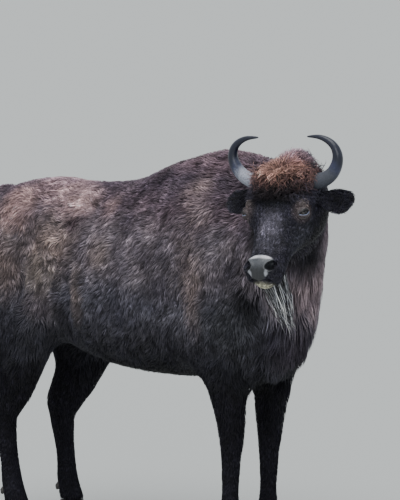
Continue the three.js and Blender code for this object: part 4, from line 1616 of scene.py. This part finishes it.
@dataclass
class Tufts:
    """The shape of many tufts: for each, its way, length, rise, width, wave and shade."""

    roots: Roots
    way: np.ndarray
    length: np.ndarray
    rise: np.ndarray
    width: np.ndarray
    wave: np.ndarray
    droop: np.ndarray
    tone: np.ndarray
    tip: np.ndarray
    levels: tuple[float, ...] = (0.0, 0.40, 0.76)
    girth: tuple[float, ...] = (0.80, 1.0, 0.62)
    patch: float = 0.003
    sunk: float = 0.0015
    sag: np.ndarray | None = None

    @property
    def run(self) -> np.ndarray:
        """Gives how far each tuft reaches along the skin."""
        return np.sqrt(np.maximum(self.length**2 - self.rise**2, 0.1 * self.length**2))

    def settle(self, ground: "Ground") -> None:
        """Bends each tuft with the body, so that its tip keeps its height over the skin below it.

        Args:
            ground: The skin.
        """
        tree = kdtree.KDTree(len(ground.middles))
        for i, point in enumerate(ground.middles):
            tree.insert(point, i)
        tree.balance()
        tips = self.roots.points + self.roots.normals * self.rise[:, None] + self.way * self.run[:, None]
        near = np.array([tree.find(tip)[1] for tip in tips], int)
        normal = unit(ground.normals[near].mean(axis=1))
        height = ((tips - ground.middles[near]) * normal).sum(1)
        short = np.clip(0.85 * self.rise - height, -0.6 * self.length, 0.25 * self.length)
        self.sag = normal * short[:, None]
        self.sag[self.roots.points[:, 2] < CORONET] = 0.0

    def spine(self, level: float, phase: np.ndarray) -> np.ndarray:
        """Gives the middle of every tuft at one level.

        Args:
            level: The share of the tuft's length.
            phase: Where each tuft's wave starts.

        Returns:
            One point for each tuft.
        """
        root, normal = self.roots.points, self.roots.normals
        side = np.cross(normal, self.way)
        climb = 1.0 - (1.0 - level) ** 1.7
        sway = self.wave * level * np.sin(phase + 5.2 * level)
        point = root + normal * (self.rise * climb - self.sunk)[:, None]
        point = point + self.way * (self.run * level)[:, None] + side * sway[:, None]
        point[:, 2] -= self.droop * level**2
        return point if self.sag is None else point + self.sag * level**2

    def build(
        self, name: str, finish: bpy.types.Material, rng: np.random.Generator, flock: int
    ) -> bpy.types.Object:
        """Makes one mesh of all the tufts, each a closed three-sided spike.

        Args:
            name: The piece's name.
            finish: Its material.
            rng: The seeded source of chance.
            flock: About how many tufts lean together into a lock.

        Returns:
            The coat piece.
        """
        count = len(self.length)
        phase = rng.random(count) * 2.0 * math.pi
        leader = self.leaders(rng, flock)
        shade = (rng.normal(1.0, 0.18, count) * rng.normal(1.0, 0.26, count)[leader]).clip(0.4, 2.0)
        # one tuft in ten is painted lighter: a painted highlight where hair catches the light
        shade = shade * np.where(rng.random(count) < 0.10, 1.55, 0.96)
        tip = self.spine(1.0, phase)
        pull = 0.42 * (tip[leader] - tip) - 0.30 * (self.roots.points[leader] - self.roots.points)
        reach = np.linalg.norm(pull, axis=1, keepdims=True)
        pull = pull * np.minimum(1.0, 0.35 * self.length[:, None] / np.maximum(reach, 1e-9))
        side = np.cross(self.roots.normals, self.way)
        steps = len(self.levels)
        rows = np.empty((count, steps * 3 + 1, 3))
        tones = np.empty((count, steps * 3 + 1, 3))
        for k, (level, girth) in enumerate(zip(self.levels, self.girth)):
            middle = self.spine(level, phase) + pull * level**1.5
            wide = side * (0.5 * self.width * girth)[:, None]
            high = self.roots.normals * (0.26 * self.width * girth)[:, None]
            rows[:, k * 3 + 0] = middle - wide - high * 0.5
            rows[:, k * 3 + 1] = middle + wide - high * 0.5
            rows[:, k * 3 + 2] = middle + high
            # each tuft is painted darker at its root and lighter towards its tip: painted shade deep in the
            # coat
            tone = mix(self.tone, self.tip, np.full(count, level**2))
            light = (0.60 + 0.46 * level) * shade
            tones[:, k * 3 : k * 3 + 3] = (tone * light[:, None])[:, None]
        rows[:, -1] = tip + pull
        tones[:, -1] = self.tip * (1.08 * shade)[:, None]
        faces = []
        for k in range(steps - 1):
            a, b = k * 3, k * 3 + 3
            for i in range(3):
                j = (i + 1) % 3
                faces += [(a + i, a + j, b + j), (a + i, b + j, b + i)]
        a = steps * 3 - 3
        faces += [(a + i, a + (i + 1) % 3, steps * 3) for i in range(3)]
        faces += [(0, 2, 1)]
        starts = np.arange(count) * (steps * 3 + 1)
        faces = (np.array(faces)[None] + starts[:, None, None]).reshape(-1, 3)
        piece = mesh_of(name, rows.reshape(-1, 3), faces)
        paint(piece, "coat", np.clip(tones.reshape(-1, 3), 0.0, 1.0))
        self.unwrap_tufts(piece, count, steps)
        piece.data.materials.append(finish)
        piece.data.polygons.foreach_set("use_smooth", np.ones(len(piece.data.polygons), bool))
        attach(piece, BODY)
        return piece

    def leaders(self, rng: np.random.Generator, flock: int) -> np.ndarray:
        """Finds for each tuft the nearest leading tuft, to which its tip leans.

        Args:
            rng: The seeded source of chance.
            flock: About how many tufts follow one leader.

        Returns:
            The leader's index for each tuft.
        """
        count = len(self.length)
        chosen = rng.permutation(count)[: max(1, count // flock)]
        tree = kdtree.KDTree(len(chosen))
        for i, index in enumerate(chosen):
            tree.insert(self.roots.points[index], i)
        tree.balance()
        return np.array([chosen[tree.find(point)[1]] for point in self.roots.points], int)

    def unwrap_tufts(self, piece: bpy.types.Object, count: int, steps: int) -> None:
        """Gives the tufts their bake patches and the lines along their hair.

        Args:
            piece: The coat piece.
            count: How many tufts there are.
            steps: How many rings each has.
        """
        across = np.tile([0.0, 1.0, 0.5], steps)
        along = np.repeat(np.array(self.levels), 3)
        here = np.stack([np.append(across, 0.5), np.append(along, 1.0)], axis=1)
        bake = self.roots.unwrap[:, None, :] + (here[None] - 0.5) * self.patch
        strand = here[None] + (np.arange(count) * 0.618)[:, None, None]
        loops = np.empty(len(piece.data.loops), np.int32)
        piece.data.loops.foreach_get("vertex_index", loops)
        for name, table in (("OFBake", np.clip(bake, 0.0, 1.0)), ("Strand", strand)):
            layer = piece.data.uv_layers.new(name=name)
            layer.uv.foreach_set("vector", table.reshape(-1, 2)[loops].astype(np.float32).ravel())


def mesh_of(name: str, points: np.ndarray, triangles: np.ndarray) -> bpy.types.Object:
    """Makes an object from points and triangles.

    Args:
        name: The object's name.
        points: One row for each point.
        triangles: Three point numbers for each face.

    Returns:
        The object.
    """
    mesh = bpy.data.meshes.new(name)
    mesh.vertices.add(len(points))
    mesh.vertices.foreach_set("co", points.astype(np.float32).ravel())
    mesh.loops.add(len(triangles) * 3)
    mesh.loops.foreach_set("vertex_index", triangles.astype(np.int32).ravel())
    mesh.polygons.add(len(triangles))
    mesh.polygons.foreach_set("loop_start", np.arange(0, len(triangles) * 3, 3, dtype=np.int32))
    mesh.update(calc_edges=True)
    piece = bpy.data.objects.new(name, mesh)
    bpy.context.scene.collection.objects.link(piece)
    return piece


@dataclass(frozen=True)
class Swirl:
    """Slow turns in the lie of the coat, from a few crossing waves."""

    waves: int = 5
    size: float = 0.17

    def turn(self, points: np.ndarray, rng: np.random.Generator) -> np.ndarray:
        """Gives how far the lie turns at each point.

        Args:
            points: Rows in the part's frame.
            rng: The seeded source of chance.

        Returns:
            Numbers mostly from -1 to 1.
        """
        total = np.zeros(len(points))
        for _ in range(self.waves):
            beat = unit(rng.normal(size=3)) * 2.0 * math.pi / (self.size * rng.uniform(0.7, 1.5))
            total += np.sin(points @ beat + rng.uniform(0.0, 6.28))
        return total / math.sqrt(self.waves)


class Plot(Enum):
    """The coat's pieces, each with the name that it has in the model and its kind of hair."""

    RUMP_LEFT = ("coat_rump_left", "coat")
    RUMP_RIGHT = ("coat_rump_right", "coat")
    BARREL_LEFT = ("coat_barrel_left", "coat")
    BARREL_RIGHT = ("coat_barrel_right", "coat")
    SHOULDER_LEFT = ("coat_shoulder_left", "coat")
    SHOULDER_RIGHT = ("coat_shoulder_right", "coat")
    MANE_LEFT = ("coat_mane_left", "mane")
    MANE_RIGHT = ("coat_mane_right", "mane")
    FACE_LEFT = ("coat_face_left", "face")
    FACE_RIGHT = ("coat_face_right", "face")
    FORELOCK = ("coat_forelock", "wool")
    LEGS_FORE = ("coat_legs_fore", "leg")
    LEGS_HIND = ("coat_legs_hind", "leg")


@dataclass
class Coat:
    """The hair of the whole animal, the forelock too, but not the beard's, the tail's or the lids'."""

    cover_trunk: float = 2.1
    cover_legs: float = 1.2
    cover_face: float = 1.5
    cover_wool: float = 6.0
    most: int = 138000
    growth: Growth = field(default_factory=Growth)
    markings: Markings = field(default_factory=Markings)

    def plots(self, points: np.ndarray) -> np.ndarray:
        """Tells which piece each root belongs to.

        Args:
            points: Rows in the part's frame.

        Returns:
            The piece's place in the list of plots.
        """
        order = list(Plot)
        x, y, z = points.T
        left, on_head = y > MIDLINE, HEAD.share(points) > 0.5
        zones = (
            (np.ones(len(points), bool), left, Plot.BARREL_LEFT, Plot.BARREL_RIGHT),
            (x < -0.40, left, Plot.RUMP_LEFT, Plot.RUMP_RIGHT),
            (x > 0.16, left, Plot.SHOULDER_LEFT, Plot.SHOULDER_RIGHT),
            ((x > 0.56) & (z > 0.6), left, Plot.MANE_LEFT, Plot.MANE_RIGHT),
            ((x > -1.0) & (z < 0.60), x > 0.0, Plot.LEGS_FORE, Plot.LEGS_HIND),
            (on_head, HEAD.local(points)[:, 1] > 0.0, Plot.FACE_LEFT, Plot.FACE_RIGHT),
        )
        found = np.zeros(len(points), int)
        for zone, first, one, other in zones:
            found[zone] = np.where(first, order.index(one), order.index(other))[zone]
        found[on_head & (self.growth.wool(points) > 0.4)] = order.index(Plot.FORELOCK)
        return found

    def bare(self, points: np.ndarray) -> np.ndarray:
        """Tells where no hair grows: the pad, the lips' edge, the eye openings and the legs' ends.

        Args:
            points: Rows in the part's frame.

        Returns:
            1 where the skin is bare and 0 where hair grows.
        """
        value = Muzzle().bare(points)
        for eye in EYES:
            far = np.linalg.norm(points - eye.centre(), axis=1)
            value = np.maximum(value, smoothstep(0.0285, 0.0255, far))
        lips = Skin.mouth.distance(one_side(HEAD.local(points))) < 0.006
        return np.maximum(value, (lips | (points[:, 2] < HAIR_ENDS)).astype(float))

    def build(self, ground: Ground) -> list[bpy.types.Object]:
        """Grows the coat.

        Args:
            ground: The finished skin.

        Returns:
            The coat's pieces.
        """
        rng = np.random.default_rng(SEED)
        middles = ground.middles
        share = HEAD.share(middles)
        long, wide = self.growth.length(middles), self.growth.width(middles)
        cover = np.full(len(share), self.cover_trunk)
        cover = mix(cover, self.cover_legs, smoothstep(0.66, 0.56, middles[:, 2]))
        cover = mix(mix(cover, self.cover_face, share), self.cover_wool, self.growth.wool(middles))
        rate = cover / np.maximum(0.5 * long * wide, 1e-6) * (1.0 - self.bare(middles))
        total = (rate * ground.areas).sum()
        rate = rate * min(1.0, self.most / total)
        LOG.info("coat: %d tufts asked, %d kept", total, min(total, self.most))
        roots = ground.plant(rate, rng)
        roots = roots.keep(self.bare(roots.points) < 0.5)
        tufts = self.comb(roots, rng)
        tufts.settle(ground)
        plot = self.plots(roots.points)
        finishes = {
            "coat": HairFinish("body hair", 0.64, 0.04, 9.0, 0.12).make(),
            "mane": HairFinish("long mane hair", 0.55, 0.04, 8.0, 0.18).make(),
            "leg": HairFinish("short leg hair", 0.55, 0.02, 18.0, 0.15).make(),
            "face": HairFinish("short face hair", 0.5, 0.06, 24.0, 0.22).make(),
            "wool": HairFinish("curly forelock wool", 0.6, 0.06, 20.0, 0.15).make(),
        }
        pieces = []
        for index, kind in enumerate(Plot):
            name, slot = kind.value
            flock = {"wool": 16, "coat": 9, "mane": 10}.get(slot, 5)
            part = self.cut(tufts, np.nonzero(plot == index)[0], slot)
            piece = part.build(name, finishes[slot], rng, flock)
            pieces.append(piece)
        return pieces

    def comb(self, roots: Roots, rng: np.random.Generator) -> Tufts:
        """Lays the tufts along the body.

        Args:
            roots: Where they grow.
            rng: The seeded source of chance.

        Returns:
            The tufts.
        """
        points, normals = roots.points, roots.normals
        count = len(points)
        share = HEAD.share(points)
        rump = Spot((-0.50, 0.15, 1.20), (0.40, 0.35, 0.40)).weigh(points)
        brow = self.growth.wool(points)
        legs = smoothstep(0.75, 0.55, points[:, 2])
        sweep = mix(np.full(count, 0.42), 0.95, rump)
        sweep = mix(mix(sweep, 0.16, legs), 0.28, share)
        angle = sweep * Swirl().turn(points, rng) + 0.5 * sweep * Swirl(5, 0.06).turn(points, rng)
        angle = angle + rng.normal(0.0, 0.16, count) + brow * rng.normal(0.0, 0.7, count)
        way = along_surface(self.growth.lie(points), normals)
        side = np.cross(normals, way)
        way = way * np.cos(angle)[:, None] + side * np.sin(angle)[:, None]
        length = self.growth.length(points) * rng.uniform(0.75, 1.2, count)
        ear = smoothstep(0.155, 0.18, np.abs(HEAD.local(points)[:, 1])) * share * (1.0 - brow)
        length = length * (1.0 + 0.7 * ear)
        depth = self.growth.depth(points)
        rise = np.minimum(depth * rng.uniform(0.62, 1.08, count), 0.85 * length)
        rise = np.maximum(rise, (0.12 + 0.24 * ear) * length)
        rise = rise * (1.0 + brow * rng.uniform(-0.2, 0.55, count))
        width = self.growth.width(points) * rng.uniform(0.7, 1.25, count)
        wave = length * (0.08 + 0.10 * rump + 0.16 * brow)
        droop = length * (0.10 + 0.30 * smoothstep(0.50, 0.75, points[:, 0]) * (1.0 - share)) * (1.0 - legs)
        clump = Swirl(7, 0.045).turn(points, rng) + 0.6 * Swirl(7, 0.022).turn(points, rng)
        clump = clump * (0.15 + 0.17 * rump + 0.06 * brow)
        clump = clump + 0.42 * share * Swirl(9, 0.015).turn(points, rng)
        tone = self.markings.colour(points) * np.exp(clump)[:, None]
        # tips are painted lighter, most along the top of the back: painted light from above
        top = smoothstep(1.30, 1.52, points[:, 2]) * (1.0 - share)
        warm = np.maximum(rump, Spot((0.36, 0.25, 1.20), (0.12, 0.25, 0.40)).weigh(points))
        tip = tone * (1.10 + 0.25 * top + 0.20 * warm + 0.75 * brow)[:, None]
        tip = tip * (1.0 + warm[:, None] * np.array([0.07, 0.02, -0.10]))
        return Tufts(roots, way, length, rise, width, wave, droop * (1.0 - share), tone, tip)

    @staticmethod
    def cut(tufts: Tufts, chosen: np.ndarray, slot: str) -> Tufts:
        """Takes one plot's tufts, with more rings where the hair is long or curly.

        Args:
            tufts: All the tufts.
            chosen: The plot's tufts.
            slot: The plot's kind of hair.

        Returns:
            The plot's tufts.
        """
        names = ("way", "length", "rise", "width", "wave", "droop", "tone", "tip")
        part = Tufts(tufts.roots.keep(chosen), *(getattr(tufts, name)[chosen] for name in names))
        part.sag = tufts.sag[chosen]
        if slot == "wool":
            part.levels, part.girth = (0.0, 0.3, 0.56, 0.8), (0.8, 1.0, 0.9, 0.6)
        elif slot != "mane":
            part.levels, part.girth = (0.0, 0.5), (0.9, 0.85)
            part.sunk = 0.0015 if slot == "coat" else 0.0006
        return part


@dataclass
class Beard:
    """The thin pale beard that hangs from the chin and throat, with dark hair between its strands."""

    strands: int = 210
    white: float = 0.5
    hang: Triple = (0.020, 0.105, -0.232)
    root_f: tuple[float, float] = (0.38, 0.490)
    root_s: float = 0.040
    levels: tuple[float, ...] = (0.0, 0.2, 0.42, 0.64, 0.84)

    def build(self, ground: Ground) -> bpy.types.Object:
        """Grows the strands from the underside of the chin.

        Args:
            ground: The finished skin.

        Returns:
            The beard.
        """
        rng = np.random.default_rng(SEED + 1)
        f, s, u = HEAD.local(ground.middles).T
        under = (f > self.root_f[0]) & (f < self.root_f[1]) & (np.abs(s) < self.root_s)
        under &= (u < -0.080) & (ground.normals.mean(axis=1)[:, 2] < 0.1)
        roots = ground.plant_some(under.astype(float), self.strands, rng)
        count = len(roots.points)
        point = roots.points.mean(axis=0) + self.hang + rng.normal(0.0, 0.017, (count, 3))
        way = unit(point - roots.points)
        length = np.linalg.norm(point - roots.points, axis=1) * rng.uniform(0.55, 1.0, count)
        pale = rng.random(count) < self.white
        tone = np.where(pale[:, None], linear("f0f4fa"), linear("1d1b22"))
        roots.normals = unit(np.cross(way, np.cross(rng.normal(size=(count, 3)), way)))
        hair = Tufts(
            roots,
            way,
            length,
            length * 0.03,
            np.where(pale, rng.uniform(0.0020, 0.0032, count), rng.uniform(0.003, 0.005, count)),
            length * rng.uniform(0.04, 0.12, count),
            length * 0.04,
            tone * 0.9,
            tone * 1.15,
            self.levels,
            (0.9, 1.0, 0.9, 0.75, 0.5),
        )
        finish = HairFinish("pale beard hair", 0.45, 0.1, 30.0, 0.4).make()
        piece = hair.build("beard_strands", finish, rng, 9)
        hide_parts("beard")
        return piece


@dataclass
class Switch:
    """The long dark hair at the tail's end."""

    strands: int = 900
    top: float = 0.90

    def build(self, ground: Ground) -> bpy.types.Object:
        """Grows the switch down from the tail's lower part.

        Args:
            ground: The finished skin.

        Returns:
            The switch.
        """
        rng = np.random.default_rng(SEED + 2)
        low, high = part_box("tail_switch")
        x, _, z = ground.middles.T
        tail = (x < high.x + 0.02) & (z < self.top) & (z > low.z - 0.01) & (x < -0.98)
        rate = tail * (0.35 + smoothstep(low.z, self.top, z))
        roots = ground.plant_some(rate, self.strands, rng)
        count = len(roots.points)
        way = unit(np.array([0.0, 0.0, -1.0]) + rng.normal(0.0, 0.10, (count, 3)))
        way = along_surface(way, roots.normals)
        length = np.minimum(rng.uniform(0.09, 0.17, count), np.maximum(roots.points[:, 2] - low.z, 0.03))
        tone = np.tile(linear("1a171b"), (count, 1))
        hair = Tufts(
            roots,
            way,
            length,
            np.minimum(0.10 * length, 0.010),
            rng.uniform(0.004, 0.007, count),
            0.06 * length,
            np.zeros(count),
            tone,
            tone * 1.5,
        )
        piece = hair.build("tail_hair", HairFinish("long tail hair", 0.5, 0.15, 12.0, 0.35).make(), rng, 8)
        return piece


# ---------------------------------------------------------------- eyes, horns and hooves


@dataclass
class EyeDressing:
    """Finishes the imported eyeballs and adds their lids, the short hair on them and the lashes."""

    lashes: int = 26
    fuzz: int = 1500

    def build(self) -> list[bpy.types.Object]:
        """Dresses both eyes.

        Returns:
            The lids, their hair and the lashes.
        """
        pieces = []
        skin = LidFinish().make()
        hair = HairFinish("short lid hair", 0.5, 0.2, 40.0, 0.35).make()
        dark = HairFinish("dark lashes", 0.4, 0.0, 40.0, 0.4).make()
        for eye in EYES:
            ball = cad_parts[f"eye_{eye.name}"]
            look = tuple(float(v) for v in eye.axes()[2])
            finish = EyeFinish(f"wet {eye.name} eye", tuple(float(v) for v in eye.centre()), look)
            ball.data.materials.clear()
            ball.data.materials.append(finish.make())
            lids = eye.build_lids()
            lids.data.materials.append(skin)
            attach(lids, BODY)
            pieces += [lids, self.lid_hair(eye, Ground.read(lids), hair), self.lash_row(eye, dark)]
        return pieces

    def lid_hair(self, eye: Eye, ground: Ground, finish: bpy.types.Material) -> bpy.types.Object:
        """Grows short hair on the lids, lying away from the slit and bare at its margin.

        Args:
            eye: The eye.
            ground: Its lids.
            finish: The hair's material.

        Returns:
            The hair.
        """
        rng = np.random.default_rng(SEED + 4)
        past, _ = eye.from_edge(ground.middles)
        facing = ground.normals.mean(axis=1)
        outward = (facing * (ground.middles - eye.centre())).sum(1) > 0.0
        rate = smoothstep(0.16, 0.30, past) * (facing @ eye.axes()[2] > -0.1) * outward
        roots = ground.plant_some(rate, self.fuzz, rng)
        count = len(roots.points)
        way = roots.points - eye.centre() - eye.axes()[2] * eye.radius + rng.normal(0.0, 0.004, (count, 3))
        way = along_surface(way, roots.normals)
        tone = eye.lid_tones(roots.points)
        away = smoothstep(0.2, 0.6, eye.from_edge(roots.points)[0])
        length = rng.uniform(0.005, 0.009, count) * (0.6 + 0.4 * away)
        shape = (length * 0.22, rng.uniform(0.0010, 0.0015, count), 0.05 * length, np.zeros(count))
        tufts = Tufts(roots, way, length, *shape, tone, tone * 1.15, (0.0, 0.5), (0.9, 0.8), sunk=0.0004)
        return tufts.build(f"lid_hair_{eye.name}", finish, rng, 4)

    def lash_row(self, eye: Eye, finish: bpy.types.Material) -> bpy.types.Object:
        """Sets a row of lashes along the upper lid.

        Args:
            eye: The eye that they shade.
            finish: The lashes' material.

        Returns:
            The lashes.
        """
        rng = np.random.default_rng(SEED + 3)
        turn = np.linspace(0.35, math.pi - 0.35, self.lashes)
        polar = eye.lid_edge(turn) + 0.05
        ring = np.stack([np.cos(turn) * np.sin(polar), np.sin(turn) * np.sin(polar), np.cos(polar)], axis=1)
        out = ring @ eye.axes()
        points = eye.centre() + out * (eye.radius + eye.lid_gap + eye.lid_thick * 0.7)
        down = np.array([0.0, 0.0, -0.55]) + eye.axes()[2] * 0.75 - eye.axes()[1] * 0.25
        normals = unit(out)
        way = unit(down - normals * (down * normals).sum(1, keepdims=True) * 0.4)
        count = len(points)
        tone = np.tile(linear("0d0b0d"), (count, 1))
        hair = Tufts(
            Roots(points, normals, np.full((count, 2), 0.5)),
            way,
            rng.uniform(0.009, 0.014, count),
            np.full(count, 0.004),
            np.full(count, 0.0011),
            np.full(count, 0.0005),
            np.zeros(count),
            tone,
            tone,
        )
        return hair.build(f"lashes_{eye.name}", finish, rng, 3)


@dataclass
class Horns:
    """The two horns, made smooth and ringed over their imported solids, the right one paler."""

    root: Triple = (0.094, 0.112, -0.010)
    pale: tuple[str, str] = ("41444d", "8a8d99")

    def build(self) -> list[bpy.types.Object]:
        """Builds both horns.

        Returns:
            The horn pieces.
        """
        pieces = []
        for side, sign, pale in zip(SIDES, (1.0, -1.0), self.pale):
            horn = copy_node(f"horn_{side}", f"horn_sheath_{side}")
            in_edit_mode(horn, lambda: bpy.ops.mesh.tris_convert_to_quads())
            apply_modifier(horn, "SUBSURF", levels=2, render_levels=2)
            bpy.ops.object.shade_smooth()
            f, s, u = self.root
            root = tuple(float(v) for v in HEAD.world((f, s * sign, u)))
            horn.data.materials.append(HornFinish(f"{side} horn sheath", root, pale).make())
            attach(horn, BODY)
            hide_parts(f"horn_{side}")
            pieces.append(horn)
        return pieces


@dataclass
class Hooves:
    """The cloven hooves and the dewclaws, with worn edges."""

    hoof: float = 0.0028
    dewclaw: float = 0.0012

    def build(self) -> list[bpy.types.Object]:
        """Builds every claw.

        Returns:
            The claw pieces.
        """
        finish = HoofFinish().make()
        pieces = []
        for leg in LEGS:
            for kind in ("hoof", "dewclaw"):
                for side in SIDES:
                    claw = copy_node(f"{leg}_{kind}_{side}", f"{leg}_{kind}_{side}_horn")
                    in_edit_mode(claw, lambda: bpy.ops.mesh.tris_convert_to_quads())
                    edge = getattr(self, kind)
                    apply_modifier(claw, "BEVEL", width=edge, segments=2, limit_method="ANGLE")
                    bpy.ops.object.shade_smooth_by_angle(angle=math.radians(40))
                    claw.data.materials.append(finish)
                    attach(claw, BODY)
                    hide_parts(f"{leg}_{kind}_{side}")
                    pieces.append(claw)
        return pieces


# ---------------------------------------------------------------- floor, light and camera


@dataclass
class Studio:
    """The pale floor, the soft light and the camera."""

    azimuth: float = 45.0
    elevation: float = 6.0
    distance: float = 25.0
    scale: float = 250.0
    frame_size: tuple[int, int] = (400, 500)
    anchor: Triple = (0.4248, 0.1021, 0.0)
    anchor_pixel: tuple[float, float] = (250.0, 552.0)
    sensor: float = 36.0

    def build(self) -> None:
        """Sets up the floor, the lights and the camera."""
        self.floor()
        self.lights()
        self.camera()

    def floor(self) -> None:
        """Lays the plain pale floor."""
        deselect()
        bpy.ops.mesh.primitive_plane_add(size=1200.0)
        floor = bpy.context.object
        floor.name = "floor"
        material, tree, shader = start_material("pale matt floor")
        feed(tree, shader, {"Base Color": (*linear("a4a6a4"), 1.0), "Roughness": 0.9})
        floor.data.materials.append(material)

    def lights(self) -> None:
        """Hangs one broad soft light overhead, one low fill, and an even pale surround."""
        world = bpy.data.worlds.new("soft surround")
        bpy.context.scene.world = world
        world.use_nodes = True
        back = world.node_tree.nodes["Background"]
        back.inputs["Color"].default_value = (0.90, 0.95, 1.0, 1.0)
        back.inputs["Strength"].default_value = 0.95
        light = bpy.data.lights.new("overhead", "SUN")
        light.energy = 3.0
        light.angle = math.radians(60.0)
        lamp = bpy.data.objects.new("overhead", light)
        lamp.rotation_euler = Vector((-0.12, 0.36, -1.0)).to_track_quat("-Z", "Y").to_euler()
        bpy.context.scene.collection.objects.link(lamp)
        self.softbox("front", (6.0, -5.0, 3.2), (0.5, 0.0, 1.0), 3.0, 130.0)

    def softbox(self, name: str, place: Triple, aim: Triple, size: float, power: float) -> None:
        """Hangs one soft light.

        Args:
            name: Its name.
            place: Where it hangs.
            aim: What it points at.
            size: Its width in metres.
            power: Its power in watts.
        """
        light = bpy.data.lights.new(name, "AREA")
        light.energy = power
        light.size = size
        lamp = bpy.data.objects.new(name, light)
        lamp.location = place
        lamp.rotation_euler = (Vector(aim) - Vector(place)).to_track_quat("-Z", "Y").to_euler()
        bpy.context.scene.collection.objects.link(lamp)

    def camera(self) -> None:
        """Places the camera so that the anchor point falls on its pixel."""
        az, el = math.radians(self.azimuth), math.radians(self.elevation)
        back = np.array([math.sin(az) * math.cos(el), -math.cos(az) * math.cos(el), math.sin(el)])
        right = np.array([math.cos(az), math.sin(az), 0.0])
        up = np.cross(back, right)
        wide, high = self.frame_size
        dx = (self.anchor_pixel[0] - wide / 2) / self.scale
        dy = (self.anchor_pixel[1] - high / 2) / self.scale
        centre = np.array(self.anchor) - right * dx + up * dy
        data = bpy.data.cameras.new("camera")
        data.sensor_width = self.sensor
        data.lens = self.scale * self.distance * self.sensor / max(self.frame_size)
        data.clip_end = 2000.0
        camera = bpy.data.objects.new("camera", data)
        camera.location = centre + back * self.distance
        camera.rotation_euler = Vector(-back).to_track_quat("-Z", "Y").to_euler()
        bpy.context.scene.collection.objects.link(camera)
        bpy.context.scene.camera = camera


# ---------------------------------------------------------------- all together


def report(pieces: Sequence[bpy.types.Object]) -> None:
    """Logs each piece with its triangles.

    Args:
        pieces: The pieces that were built.
    """
    for piece in pieces:
        count = sum(len(face.vertices) - 2 for face in piece.data.polygons)
        LOG.info("%-22s %7d triangles", piece.name, count)


def main() -> None:
    """Builds the animal and the studio, in order."""
    logging.basicConfig(level=logging.INFO, format="%(message)s")
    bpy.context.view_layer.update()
    Studio().build()
    skin = Skin().build()
    report([skin])
    ground = Ground.read(skin)
    report(Coat().build(ground))
    report([Beard().build(ground), Switch().build(ground)])
    report(EyeDressing().build())
    report(Horns().build())
    report(Hooves().build())


if __name__ == "__main__":
    main()
